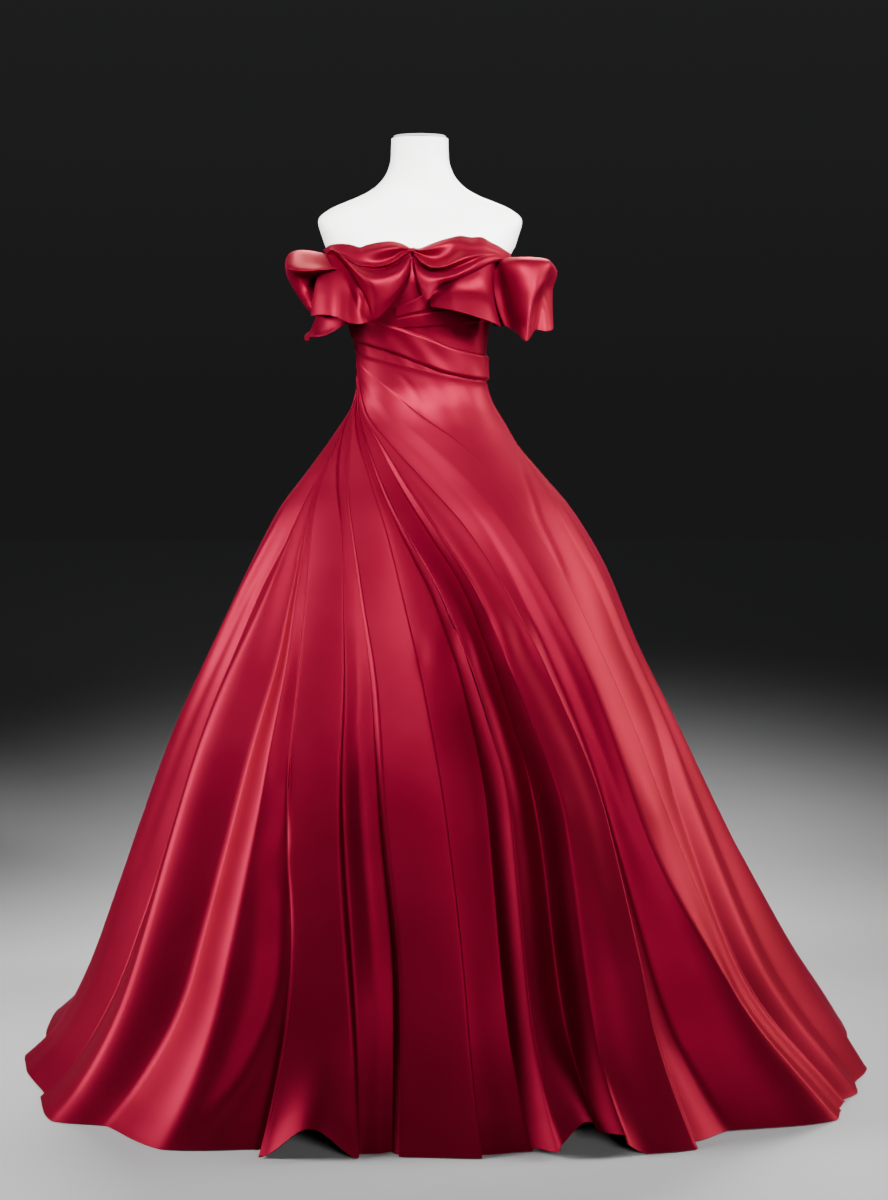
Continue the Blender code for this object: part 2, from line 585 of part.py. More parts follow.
def between(first, second, share):
    """Angle, height and lift of one column between two folds."""
    width = np.linalg.norm(second.points() - first.points(), axis=1)
    start = np.where(first.step, first.half / width, 0.0)
    end = 1 - np.where(second.step, second.half / width, 0.0)
    at = start + (end - start) * share
    blend = (share + eased(share)) / 2
    angle = first.angle + (second.angle - first.angle) * at
    height = first.height + (second.height - first.height) * at
    lift = first.right + (second.left - first.right) * blend
    return angle, height, lift


def seam_shift(fold, side):
    """How far a panel's border column stands back from the seam, in degrees."""
    radius = dress_radius(fold.height, fold.angle)
    run = np.gradient(np.radians(fold.angle)) * radius
    fall = np.gradient(fold.height) - 1e-6
    slant = np.sqrt(1 + (run / fall) ** 2)
    return side * np.degrees(np.minimum(slant, STEEPEST_SLANT) * SEAM_GAP / 2 / radius)


def hem_lift(angle, height):
    lift = np.zeros_like(height)
    for centre, half, rise in HEM_ARCHES:
        near = 1 - np.abs(angle - centre) / half
        low = np.clip(1 - height / HEM_ARCH_HEIGHT, 0, 1)
        lift = lift + rise * eased(near) * low ** 2
    return lift


def skirt_panel(name, folds, spacing, look):
    """One panel of the skirt from its first fold to its last, as a wall of cloth."""
    columns = []
    for first, second in zip(folds, folds[1:]):
        width = np.linalg.norm(second.points() - first.points(), axis=1)[WIDTH_ROW]
        turn = np.abs(second.angle - first.angle).max()
        count = max(1, round(width / spacing), math.ceil(turn / COLUMN_TURN))
        last = second is folds[-1]
        for k in range(count + 1):
            if k < count or second.step or last:
                columns.append(between(first, second, k / count))
    angle = np.stack([column[0] for column in columns], axis=1)
    height = np.stack([column[1] for column in columns], axis=1)
    lift = np.stack([column[2] for column in columns], axis=1)
    angle[:, 0] += seam_shift(folds[0], 1)
    angle[:, -1] += seam_shift(folds[-1], -1)
    radius = dress_radius(height, angle) + lift
    height = height + hem_lift(angle, height)
    return radial_wall(name, radius, angle, height, CLOTH, look)


def wrap_end_line():
    """The wrap's last edge, along its upper edge and down the right side of the skirt."""
    knots = list(WRAP_TOP) + [(RIGHT_SEAM - WRAP_END_SPACE, WAIST)]
    return even_line(knots + list(zip(WRAP_END_ANGLES, FOLD_HEIGHTS)))


def back_rows():
    return row_shares(BACK_ROWS, BACK_TOP_ROWS, BACK_TOP_SHARE)


def back_seam_fold():
    name, top, high, angles, left, right = next(row for row in SIDE_FOLDS if row[0] == "back_seam")
    return Fold(name, fold_line(top, high, angles), left, right, back_rows())


def underlap(name, top_angle, angles, lift, shift, shares):
    """The border of a seam's lower layer: it runs on behind the upper layer's edge."""
    return Fold(name, fold_line(top_angle, WAIST, [angle + shift for angle in angles]), lift, lift, shares)


def tuck_behind(fold):
    behind = np.interp(fold.height, UNDERLAP_HEIGHTS, UNDERLAP_DEPTHS)
    fold.left = fold.left - behind
    fold.right = fold.right - behind


def make_skirt(look):
    front_shares = row_shares(FRONT_ROWS, FRONT_TOP_ROWS, FRONT_TOP_SHARE)
    front = skirt_folds(FRONT_FOLDS, front_shares)
    front.append(Fold("wrap_end", wrap_end_line(), WRAP_END_LIFT, WRAP_END_LIFT, front_shares))
    soften_steps(front)
    by_name = {fold.name: i for i, fold in enumerate(front)}

    def front_panel(name, first, last):
        skirt_panel(name, front[by_name[first]:by_name[last] + 1], COLUMN_SPACING, look)

    front_panel("skirt_front_left", "left_gap", "inset_ridge")
    front_panel("skirt_front_centre", "inset_ridge", "wide_valley")
    front_panel("skirt_front_wrap", "wide_valley", "wrap_end")

    back_shares = back_rows()
    start = underlap("wrap_underlap", RIGHT_SEAM - WAIST_UNDERLAP_ANGLE, WRAP_END_ANGLES, WRAP_END_LIFT,
                     -UNDERLAP_ANGLE, back_shares)
    name, top, high, angles, left, right = FRONT_FOLDS[0]
    end = underlap("left_underlap", top + 360 + UNDERLAP_ANGLE / 2, [angle + 360 for angle in angles], left,
                   UNDERLAP_ANGLE, back_shares)
    back = [start] + skirt_folds(SIDE_FOLDS, back_shares) + [end]
    soften_steps(back)
    tuck_behind(back[0])
    tuck_behind(back[-1])
    by_name = {fold.name: i for i, fold in enumerate(back)}

    def back_panel(name, first, last):
        skirt_panel(name, back[by_name[first]:by_name[last] + 1], BACK_COLUMN_SPACING, look)

    back_panel("skirt_side_right", "wrap_underlap", "right_seam")
    back_panel("skirt_back_right", "right_seam", "back_seam")
    back_panel("skirt_back_left", "back_seam", "left_seam")
    back_panel("skirt_side_left", "left_seam", "left_underlap")


# Bodice

def table_curve(table, angle, column=1):
    rows = np.asarray(table, float)
    return smooth_curve(angle, rows[:, 0], rows[:, column])


def bodice_columns(start, end):
    count = max(2, round((end - start) / BODICE_STEP))
    return np.linspace(start, end, count + 1)


def bodice_panel(name, start, end, lower, look):
    """A panel between two seams, from its lower edge to the bodice's upper edge."""
    angle = bodice_columns(start, end)[None, :]
    bottom = lower(angle)
    top = table_curve(BODICE_TOP, angle)
    share = np.linspace(1, 0, BODICE_ROWS + 1)[:, None]
    height = bottom + (top - bottom) * share
    angle = np.broadcast_to(angle, height.shape)
    return radial_wall(name, dress_radius(height, angle), angle, height, CLOTH, look)


def bodice_band(name, layers, ends, look):
    """A band that lies on the bodice's front, made on its columns and moved out."""
    rows = np.asarray(ends, float)
    columns = bodice_columns(LEFT_SEAM, RIGHT_SEAM)
    angle = columns[(columns >= rows[0, 0]) & (columns <= rows[-1, 0])][None, :]
    low = smooth_curve(angle, rows[:, 0], rows[:, 1])
    high = smooth_curve(angle, rows[:, 0], rows[:, 2])
    height = low + (high - low) * np.linspace(1, 0, 4)[:, None]
    angle = np.broadcast_to(angle, height.shape)
    out = (layers + 1) * (THIN_CLOTH + LAYER_GAP)
    return radial_wall(name, dress_radius(height, angle) + out, angle, height, THIN_CLOTH, look)


def make_bodice(look):
    edge_angle, edge_height, _ = wrap_end_line()
    turn = int(np.argmax(edge_angle)) + 1

    def above_wrap(angle):
        edge = np.interp(angle, edge_angle[:turn], edge_height[:turn])
        return np.maximum(edge, WAIST) + 3 * SEAM_GAP

    def above_waist(angle):
        return np.full_like(angle, WAIST + 2 * SEAM_GAP)

    bodice_panel("bodice_front", LEFT_SEAM, RIGHT_SEAM, above_wrap, look)
    back = BACK_SEAM - BACK_SEAM_SPACE
    bodice_panel("bodice_back_left", -back, LEFT_SEAM - LEFT_SEAM_SPACE, above_waist, look)
    bodice_panel("bodice_back_right", RIGHT_SEAM + RIGHT_SEAM_SPACE, back, above_waist, look)
    for name, layers, ends in BODICE_BANDS:
        bodice_band(name, layers, ends, look)


def make_zip(look):
    """The closed strip over the back seam, on the rows of the bodice and of the skirt below it."""
    top = float(table_curve(BODICE_TOP, np.array(BACK_SEAM)))
    bodice = np.linspace(top, WAIST + 2 * SEAM_GAP, BODICE_ROWS + 1)[1:]
    seam = back_seam_fold()
    reach = seam.height >= ZIP_BOTTOM
    height = np.concatenate([bodice, seam.height[reach]])[:, None]
    lift = np.concatenate([np.zeros(len(bodice)), seam.left[reach]])[:, None]
    radius = dress_radius(height, BACK_SEAM) + lift + THIN_CLOTH + LAYER_GAP
    across = np.array([-0.5, 0.0, 0.5])[None, :] * ZIP_WIDTH
    angle = BACK_SEAM + np.degrees(across / radius)
    radius, angle, height = np.broadcast_arrays(radius, angle, height)
    return radial_wall("back_zip", radius, angle, height, THIN_CLOTH, look)


# Collar

def collar_sheet(name, table, look, columns_between=COLLAR_COLUMNS_BETWEEN):
    """A loose flounce: each row of the table is one section from the neckline to the free edge."""
    rows = np.asarray(table, float)
    stations = np.arange(len(rows), dtype=float)
    fine = np.linspace(0, len(rows) - 1, (len(rows) - 1) * columns_between + 1)
    angle = smooth_curve(fine, stations, rows[:, 0])
    outs = np.stack([smooth_curve(fine, stations, rows[:, c]) for c in (1, 3, 5, 7)])
    heights = np.stack([smooth_curve(fine, stations, rows[:, c]) for c in (2, 4, 6, 8)])
    knots = np.arange(4, dtype=float)
    down = np.linspace(0, 3, COLLAR_ROWS)
    out = np.stack([smooth_curve(down, knots, outs[:, j]) for j in range(len(fine))], axis=1)
    height = np.stack([smooth_curve(down, knots, heights[:, j]) for j in range(len(fine))], axis=1)
    angle = np.broadcast_to(angle[None, :], out.shape)
    outer = place(body_radius(height, angle) + out, angle, height)
    return cloth_wall(name, outer, outer - THIN_CLOTH * sheet_normals(outer), look)


def body_radius(height, angle):
    """What the collar stands out from: the shoulders, and below the neckline the fullest outline so far."""
    bust = dress_radius(np.clip(height, BUST_LEVEL, COLLAR_LEVEL), angle)
    fullest = np.maximum(dress_radius(COLLAR_LEVEL, angle), bust)
    return np.where(height > COLLAR_LEVEL, dress_radius(height, angle), fullest)


def sheet_normals(points):
    """Unit normals of a sheet of points, on the side away from the body."""
    down = np.gradient(points, axis=0)
    across = np.gradient(points, axis=1)
    normal = np.cross(down, across)
    return normal / np.linalg.norm(normal, axis=-1, keepdims=True)


def back_flounce_rows():
    rows = []
    for angle in np.linspace(BACK_FLOUNCE_FROM, BACK_FLOUNCE_TO, BACK_FLOUNCE_COLUMNS):
        share = (angle - BACK_FLOUNCE_FROM) / (BACK_FLOUNCE_TO - BACK_FLOUNCE_FROM)
        wave = math.sin(2 * math.pi * BACK_FLOUNCE_WAVES * share)
        row = [angle]
        for _, height, out, swing in BACK_FLOUNCE_PROFILE:
            row += [out + swing * wave, height]
        rows.append(row)
    return rows


def make_knot(look):
    """The pinched loop of cloth round the middle of the bow: a short ring that is open to both sides."""
    radius = float(body_radius(np.array(COLLAR_LEVEL), np.array(KNOT_ANGLE))) + KNOT_OUT
    centre = place(radius, KNOT_ANGLE, KNOT_HEIGHT)
    wide, deep, tall = KNOT_SIZE
    turn = math.radians(KNOT_ANGLE)
    outward = np.array((math.sin(turn), -math.cos(turn), 0.0))
    sideways = np.array((math.cos(turn), math.sin(turn), 0.0))
    rings = [(level, scale, 0.0) for level, scale in KNOT_RINGS]
    rings += [(level, scale, KNOT_WALL) for level, scale in KNOT_RINGS[::-1]]
    points = []
    for level, scale, wall in rings:
        for k in range(KNOT_SIDES):
            a = 2 * math.pi * k / KNOT_SIDES
            out = outward * (deep * scale - wall) * math.cos(a)
            up = np.array((0.0, 0.0, (tall * scale - wall) * math.sin(a)))
            points.append(tuple(centre + sideways * wide * level + out + up))
    faces = []
    for r in range(len(rings)):
        for k in range(KNOT_SIDES):
            a = r * KNOT_SIDES + k
            b = r * KNOT_SIDES + (k + 1) % KNOT_SIDES
            c = ((r + 1) % len(rings)) * KNOT_SIDES
            faces.append((a, c + k, c + (k + 1) % KNOT_SIDES, b))
    return add_mesh("bow_knot", points, faces, look)


def make_collar(look):
    collar_sheet("bow_left", BOW_LEFT[::-1], look)
    collar_sheet("bow_right", BOW_RIGHT, look)
    collar_sheet("flounce_right_front", FLOUNCE_RIGHT_FRONT, look)
    collar_sheet("flounce_right_side", FLOUNCE_RIGHT_SIDE, look)
    collar_sheet("flounce_left_side", FLOUNCE_LEFT_SIDE, look)
    collar_sheet("flounce_left_low", FLOUNCE_LEFT_LOW, look)
    collar_sheet("flounce_back", back_flounce_rows(), look, BACK_FLOUNCE_BETWEEN)
    make_knot(look)


# Dress form

def make_form(body_look, cap_look, base_look):
    heights = [row[0] for row in FORM_SECTIONS]
    fine = [heights[0]]
    for low, high in zip(heights, heights[1:]):
        steps = math.ceil((high - low) / FORM_ROW) if WAIST <= high <= COLLAR_LEVEL else 1
        fine += list(np.linspace(low, high, steps + 1)[1:])
    angle = np.linspace(0, 360, FORM_COLUMNS, endpoint=False)
    rings = [place(form_radius(np.full_like(angle, z), angle), angle, np.full_like(angle, z)) for z in fine]
    closed_loft("form_torso", rings, body_look)

    turned_disc("form_neck_cap", CAP_RADIUS, NECK_TOP + SEAM_GAP, CAP_THICKNESS, cap_look, CAP_BEVEL)
    turned_disc("form_base", BASE_RADIUS, 0.0, BASE_THICKNESS, base_look, BASE_BEVEL)
    pole_low = BASE_THICKNESS + SEAM_GAP
    turned_disc("form_pole", POLE_RADIUS, pole_low, FORM_BOTTOM - SEAM_GAP - pole_low, base_look, 0.0)


def turned_disc(name, radius, bottom, thickness, look, bevel):
    count = DISC_SIDES
    levels = [(bottom, radius - bevel), (bottom + bevel, radius), (bottom + thickness - bevel, radius),
              (bottom + thickness, radius - bevel)]
    if bevel == 0.0:
        levels = [levels[0], levels[-1]]
    angle = np.linspace(0, 360, count, endpoint=False)
    rings = [place(np.full_like(angle, r), angle, np.full_like(angle, z)) for z, r in levels]
    return closed_loft(name, rings, look)


def main():
    clear_scene()
    satin = material("red_satin", SATIN_RED, 0.35)
    form_white = material("form_white", FORM_WHITE, 0.6)
    cap_grey = material("cap_grey", CAP_GREY, 0.5)
    base_white = material("base_white", BASE_WHITE, 0.4)
    make_form(form_white, cap_grey, base_white)
    make_skirt(satin)
    make_bodice(satin)
    make_zip(satin)
    make_collar(satin)


main()
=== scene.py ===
import math

import bpy
import numpy as np
from mathutils import Euler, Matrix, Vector


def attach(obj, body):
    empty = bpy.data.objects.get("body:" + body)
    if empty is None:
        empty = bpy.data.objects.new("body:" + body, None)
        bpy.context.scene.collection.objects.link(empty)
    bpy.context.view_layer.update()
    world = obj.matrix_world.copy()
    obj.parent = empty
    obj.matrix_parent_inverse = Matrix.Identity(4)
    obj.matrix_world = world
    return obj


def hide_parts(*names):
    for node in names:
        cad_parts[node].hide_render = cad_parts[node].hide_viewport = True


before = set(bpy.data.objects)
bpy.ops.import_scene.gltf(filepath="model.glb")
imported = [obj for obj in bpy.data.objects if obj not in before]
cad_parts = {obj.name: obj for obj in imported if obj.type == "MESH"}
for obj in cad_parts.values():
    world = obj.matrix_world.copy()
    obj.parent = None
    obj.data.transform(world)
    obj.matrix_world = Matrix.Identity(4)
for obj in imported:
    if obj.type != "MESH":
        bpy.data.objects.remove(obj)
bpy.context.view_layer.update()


def in_metres(table):
    return tuple(tuple(value / 1000 for value in row) for row in table)


# Angles are degrees around the body's axis: 0 is the front (-Y), 90 the side at +X

# Cloth
THICK = 0.0010
COLLAR_THICK = 0.0009
SKIRT_ROWS = 176
SKIRT_TOP_ROWS = 56
TOP_SHARE = 0.22
ROW_GROWTH = 1.06
COLUMN_SPACING = 0.0085
BACK_SPACING = 0.0115
LEAST_COLUMNS = 4
WIDTH_PERCENT = 85
STEP_COLUMNS = 13
LINE_SAMPLES = 500
LINE_SOFTENING = 3
ROOM_SOFTENING = 4

# The outlines across are superellipses: their power, and what it gains or loses with the height
ROUNDNESS = 2.2
SHOULDER_SQUARENESS = 0.5
SHOULDERS_FROM = 1.42
SHOULDERS_OVER = 0.08
NECK_ROUNDING = 0.5
NECK_FROM = 1.54
NECK_OVER = 0.06
HEM_SQUARENESS = 0.45
HEM_SQUARE_BELOW = 1.15

# Dress form and dress in mm: height, then half widths to the left and right, half depths to the front and back
FORM_SECTIONS = in_metres((
    (880, 146, 148, 98, 104), (940, 158, 160, 106, 120), (1020, 160, 162, 104, 124), (1100, 136, 140, 94, 106),
    (1160, 110, 118, 87, 90), (1190, 107, 114.5, 85, 86), (1220, 107.5, 113.5, 86, 85), (1260, 108.5, 113, 88, 84),
    (1300, 113, 116, 95, 85), (1350, 124, 126, 113, 90), (1400, 136, 138, 121, 94), (1440, 154, 155, 110, 98),
    (1453, 162, 163, 105, 99), (1465, 169, 170, 99, 99), (1489, 177, 178, 89, 97), (1504, 182, 183, 80, 92),
    (1516, 184, 185, 73, 87), (1526, 175, 176, 67, 83), (1540, 152, 153, 61, 78), (1554, 115, 115, 56, 72),
    (1572, 82, 82, 52, 64), (1598, 60, 60, 50, 56), (1624, 52, 52, 48, 51), (1660, 51, 51, 47, 50),
))
SKIRT_SECTIONS = in_metres((
    (0, 712, 800, 645, 800), (50, 660, 770, 612, 752), (150, 602, 705, 560, 690), (300, 545, 620, 510, 620),
    (450, 492, 540, 460, 550), (600, 437, 466, 410, 478), (750, 372, 392, 345, 395), (900, 306, 331, 275, 308),
    (1000, 254, 271, 220, 240), (1060, 207, 220, 178, 190), (1120, 160, 171, 135, 142), (1160, 134, 146, 110, 114),
    (1190, 120, 129, 98, 99),
))
# The dress above the waist: the form's sections from this row on, and the cloth's outer side over them
FORM_ROWS_FROM = 6
FORM_ROWS_TO = 15
CLEARANCE = ((1.22, 0.007), (1.3, 0.006), (1.38, 0.0033), (1.46, 0.0033))

WAIST = 1.222
LEFT_SEAM = -87.4
RIGHT_SEAM = 88.4
WRAP_TOP = ((-87.4, 1.290), (-60, 1.274), (-31, 1.2605), (0, 1.247), (38, 1.231), (65, 1.2245))

# Folds of the skirt: angles at these heights, lifts at the next ones
FOLD_HEIGHTS = (1.18, 1.12, 1.06, 0.97, 0.86, 0.70, 0.50, 0.25, 0.00)
LIFT_HEIGHTS = (1.00, 0.50, 0.00)
# A row has a name, the angle at the top, the angles below, the lift in mm, and at a step also the lift on its right
SIDE_FOLDS = (
    ("wrap_underlap", 84.4, (85.5, 77.5, 68.5, 63, 65.5, 67, 59.5, 56, 63), (-6, -15, -18)),
    ("right_ridge", 93, (91, 84.5, 77, 72, 72.5, 74, 66, 61.5, 68), (0, 2, 2)),
    ("right_valley", 98, (96, 91, 85, 81, 80, 80, 73, 67.5, 72.5), (-4, -12, -12)),
    ("right_side_ridge", 103, (101, 98, 94, 91, 88.5, 86, 80, 77, 79), (2, 8, 8)),
    ("right_side_valley", 109, (108, 105, 102, 99, 96, 93, 90, 88, 87), (-4, -10, -12)),
    ("right_seam", 116, (115, 113, 110, 107, 105, 102, 99, 97, 96), (2, 6, 8)),
    ("back_pleat_1", 126, (125, 123, 121, 119, 117, 114, 111, 109, 108), (7, 12, 16), (-6, -12, -20)),
    ("back_ridge_1", 138, (137, 136, 134, 132, 130, 127, 125, 123, 121), (2, 12, 22)),
    ("back_pleat_2", 149, (149, 148, 147, 145, 143, 141, 139, 137, 136), (7, 12, 14), (-7, -14, -24)),
    ("back_ridge_2", 160, (160, 160, 159, 158, 157, 155, 154, 152, 151), (2, 12, 20)),
    ("back_valley_1", 170, (170, 170, 170, 169, 169, 168, 167, 166, 166), (-2, -10, -22)),
    ("back_seam", 180, (180, 180, 180, 180, 180, 180, 180, 180, 180), (1, 8, 16)),
    ("back_valley_2", 190, (190, 190, 190.5, 191, 191, 192, 193, 194, 195), (-2, -10, -18)),
    ("back_ridge_3", 200, (200, 200.5, 201, 202, 203, 205, 207, 208, 209), (2, 10, 20)),
    ("back_pleat_3", 211, (211, 212, 213, 215, 217, 219, 221, 223, 224), (-6, -12, -22), (7, 12, 14)),
    ("back_ridge_4", 222, (222.5, 224, 226, 228, 230, 232, 234, 236, 238), (2, 10, 18)),
    ("back_pleat_4", 233, (234, 236, 238, 241, 243, 245, 247, 249, 250), (-6, -12, -18), (7, 12, 14)),
    ("left_seam", 243, (245, 248, 251, 254, 255, 256.5, 258, 260, 261), (0, 0, 2)),
    ("left_side_valley", 254, (258, 264, 268, 270, 268, 266, 266, 267, 268.5), (-3, -8, -10)),
    ("left_lip", 262, (269, 280, 287, 292, 288, 282, 277, 276, 276), (6, 10, 10)),
)
# These start at heights of their own, told after the angle at the top
FRONT_FOLDS = (
    ("left_gap", -92.5, 1.222, (-86.5, -70, -60.6, -58.8, -62.5, -64.8, -62.5, -61.5, -64),
     (-14, -28, -24), (-8, -22, -14)),
    ("left_ridge", -91.2, 1.222, (-85.5, -69, -59.4, -53, -51, -53, -52.4, -51.2, -53), (8, 20, 18)),
    ("left_valley", -90.1, 1.222, (-84.5, -68, -58.2, -50, -44.5, -42, -42.2, -42.4, -46.5), (-3, -24, -30)),
    ("low_ridge", -88.8, 1.222, (-83.5, -67, -57, -47.4, -40.5, -35.2, -33.1, -32.7, -34), (2, 14, 20)),
    ("left_box_edge", -87.8, 1.222, (-82.5, -66, -55.6, -44.9, -37.2, -31.7, -27.2, -22, -21.5),
     (-4, -8, -28), (6, 10, 16)),
    ("left_box_end", -87.4, 1.226, (-81.5, -63, -46.8, -31.5, -24.6, -19.2, -16.2, -11.7, -8.2),
     (8, 12, 16), (-6, -16, -26)),
    ("inset_ridge", -87.4, 1.231, (-77.5, -57.5, -43.3, -29.6, -21.8, -15.6, -12, -7.8, -5.6), (-2, -12, -32)),
    ("centre_box_edge", -87.4, 1.236, (-73.5, -52.5, -39.8, -27.4, -18.8, -11.2, -7.3, -3.5, -2.8),
     (-7, -28, -44), (7, 11, 10)),
    ("centre_box_end", -87.4, 1.241, (-69, -45, -27.4, -13.4, -5.3, 1.6, 5.8, 8, 8.8), (7, 9, 6), (-3, -7, -12)),
    ("first_pleat", -87.4, 1.246, (-65, -40, -23, -6.7, 6.5, 14.3, 17.5, 17.1, 18), (-14, -26, -26), (9, 13, 14)),
    ("second_pleat", -87.4, 1.252, (-60.5, -30, -11.3, 6.1, 18.2, 24.3, 28, 26.7, 26.5),
     (-12, -20, -22), (10, 14, 15)),
    ("third_pleat", -87.4, 1.258, (-56.5, -23, 0, 19, 28.7, 35.6, 39.2, 38.2, 37.5), (11, 15, 16), (-12, -17, -22)),
    ("wide_valley", -87.4, 1.265, (-47, -10, 12, 27, 34, 39, 41, 42, 45), (-3, -24, -50)),
    ("bright_ridge", -87.4, 1.272, (-34, 6, 25, 36, 41.5, 46, 45.5, 50.2, 57), (3, 16, 26)),
    ("wrap_edge", -87.4, 1.28, (-9, 28, 42, 47.2, 50.8, 53.9, 53.2, 53.4, 60.5), (4, 6, 8), (-1, -3, 0)),
)
WRAP_END_ANGLES = (86.5, 78.5, 69.5, 64, 66.5, 68, 60.5, 57, 64)
WRAP_END_LIFT = (3, -6, -6)
WRAP_END_SPACE = 0.6

# How the lifts grow from the waist, and what room they leave each other
GROWTH = 0.10
WAIST_LIFT = 0.22
DROP_FROM = 1.225
DROP_OVER = 0.13
STEP_HALF = 0.0034
STEP_ROOM = 0.14
LIFT_ROOM = 0.36
STEP_HEIGHT_ROOM = 0.48
OVERHANG = 1.15
OVERHANG_MOST = 0.024
OVERHANG_ROOM = 0.8
OVERHANG_SWING = 3
LIP = 0.0016
LIP_WIDTH = 0.006
# Pressed pleats that open into soft rolls further down, and how far each of them does
SOFT_STEPS = {"first_pleat": 0.9, "second_pleat": 1.0, "third_pleat": 0.9, "left_box_end": 0.25, "left_gap": 0.5,
              "back_pleat_1": 0.8, "back_pleat_2": 0.7, "back_pleat_3": 0.8, "back_pleat_4": 0.7}
# Uneven lines of the hidden folds: reach in degrees, waves along the fold, and where they start
SWAYS = {"right_side_valley": (0.8, 1.1, 0.1), "back_pleat_1": (1.5, 0.9, 0.45), "back_ridge_1": (1.8, 1.3, 0.2),
         "back_pleat_2": (1.4, 1.1, 0.9), "back_ridge_2": (1.6, 0.8, 0.6), "back_valley_1": (1.3, 1.4, 0.0),
         "back_valley_2": (1.5, 1.0, 0.35), "back_ridge_3": (1.7, 1.2, 0.75), "back_pleat_3": (1.6, 0.8, 0.15),
         "back_ridge_4": (1.6, 1.3, 0.5), "back_pleat_4": (1.3, 1.0, 0.05), "left_side_valley": (0.8, 1.2, 0.3)}
SOFT_FROM = 0.86
SOFT_OVER = 0.42
SOFT_HALF = 0.017
SOFT_ROOM = 0.16
LOW_ROOM = 0.8

# The hem lifts off the floor over two pleats: angle, half the width in degrees, lift
HEM_ARCHES = ((-14.5, 7.0, 0.050), (23.5, 7.5, 0.050))
HEM_ARCH_HEIGHT = 0.24
FLOOR_GAP = 0.0012

# Panels of the skirt: CAD node, first and last fold
PANELS = (
    ("skirt_side_right", "wrap_underlap", "right_seam"),
    ("skirt_back_right", "right_seam", "back_seam"),
    ("skirt_back_left", "back_seam", "left_seam"),
    ("skirt_side_left", "left_seam", "left_gap"),
    ("skirt_front_left", "left_gap", "inset_ridge"),
    ("skirt_front_centre", "inset_ridge", "wide_valley"),
    ("skirt_front_wrap", "wide_valley", "wrap_end"),
)

# Soft troughs and ridges besides the folds: depth and width in mm, then heights and angles of the line
CREASES = (
    (-9, 20, ((0.46, -28.6), (0.25, -25.4), (0.12, -27.5), (0, -31.5))),
    (-2.2, 7, ((1.12, 77.1), (1.06, 60.6), (0.97, 51.6), (0.88, 51.6))),
    (-1, 6, ((1.245, -24), (1.222, -12), (1.196, -2), (1.17, 4))),
    (-0.9, 8, ((1.235, 14), (1.205, 22), (1.175, 30), (1.14, 34))),
    (0.6, 9, ((1.238, 2), (1.205, 12), (1.17, 20), (1.13, 24))),
    (-0.8, 7, ((1.236, 32), (1.205, 42), (1.17, 50))),
    (0.6, 8, ((1.234, 44), (1.2, 54), (1.16, 60))),
)
CREASE_OVER = 0.02
CREASE_FADE = 0.25
# Puckers where the stitched pleats open: angle, height, depth in mm, reach across and down in metres
PUCKERS = (
    (10, 0.79, -3, 0.016, 0.034), (14, 0.75, 2.5, 0.02, 0.04),
    (20, 0.8, -3, 0.016, 0.034), (24, 0.76, 2.5, 0.02, 0.04),
    (30, 0.815, -3, 0.016, 0.034), (34, 0.78, 2.5, 0.02, 0.04),
    (-28.8, 0.455, -6, 0.016, 0.04), (-31, 0.56, 4, 0.02, 0.05),
    (1, 0.76, -2.5, 0.012, 0.03), (29, 0.52, 3, 0.018, 0.04),
    (-13.5, 0.64, -2.5, 0.014, 0.05), (50, 0.5, 4, 0.03, 0.06),
)
# Uneven waves of the cloth: height, seed, lengths across in metres and down in shares of the skirt
SOFT_WAVES = ((0.0011, 5, ((0.09, 0.2), (1.6, 3))), (0.0003, 8, ((0.045, 0.07), (0.6, 1.2))))
WAVE_COUNT = 5
WAVES_BELOW = 1.15
WAVES_OVER = 0.5


def smooth_curve(at, places, values):
    """A smooth curve through the values, without overshoot between them."""
    places = np.asarray(places, float)
    values = np.asarray(values, float)
    steps = np.diff(places)
    slopes = np.diff(values) / steps
    tangents = np.empty_like(values)
    tangents[0] = slopes[0]
    tangents[-1] = slopes[-1]
    for i in range(1, len(values) - 1):
        before = 2 * steps[i] + steps[i - 1]
        after = steps[i] + 2 * steps[i - 1]
        if slopes[i - 1] * slopes[i] > 0:
            tangents[i] = (before + after) / (before / slopes[i - 1] + after / slopes[i])
        else:
            tangents[i] = 0.0
    at = np.clip(at, places[0], places[-1])
    k = np.clip(np.searchsorted(places, at, side="right") - 1, 0, len(steps) - 1)
    t = (at - places[k]) / steps[k]
    start = (1 + 2 * t) * (1 - t) ** 2 * values[k] + t * (1 - t) ** 2 * steps[k] * tangents[k]
    end = t * t * (3 - 2 * t) * values[k + 1] + t * t * (t - 1) * steps[k] * tangents[k + 1]
    return start + end


def column_curve(table, column=1):
    """The smooth curve through one column of a table, whose first column says where."""
    rows = np.asarray(table, float)
    return lambda at: smooth_curve(at, rows[:, 0], rows[:, column])


def eased(share):
    share = np.clip(share, 0, 1)
    return share * share * (3 - 2 * share)


def shoulder_squareness(height):
    return SHOULDER_SQUARENESS * np.clip((height - SHOULDERS_FROM) / SHOULDERS_OVER, 0, 1)


def section_radius(table, height, angle, roundness):
    """Distance from the axis to the outline at this height, in the direction of the angle."""
    rows = np.asarray(table, float)
    left, right, front, back = (smooth_curve(height, rows[:, 0], rows[:, c]) for c in (1, 2, 3, 4))
    s = np.sin(np.radians(angle))
    c = np.cos(np.radians(angle))
    across = np.where(s > 0, right, left)
    along = np.where(c > 0, front, back)
    total = (np.abs(s) / across) ** roundness + (np.abs(c) / along) ** roundness
    return total ** (-1.0 / roundness)


def form_radius(height, angle):
    neck = NECK_ROUNDING * np.clip((height - NECK_FROM) / NECK_OVER, 0, 1)
    return section_radius(FORM_SECTIONS, height, angle, ROUNDNESS + shoulder_squareness(height) - neck)


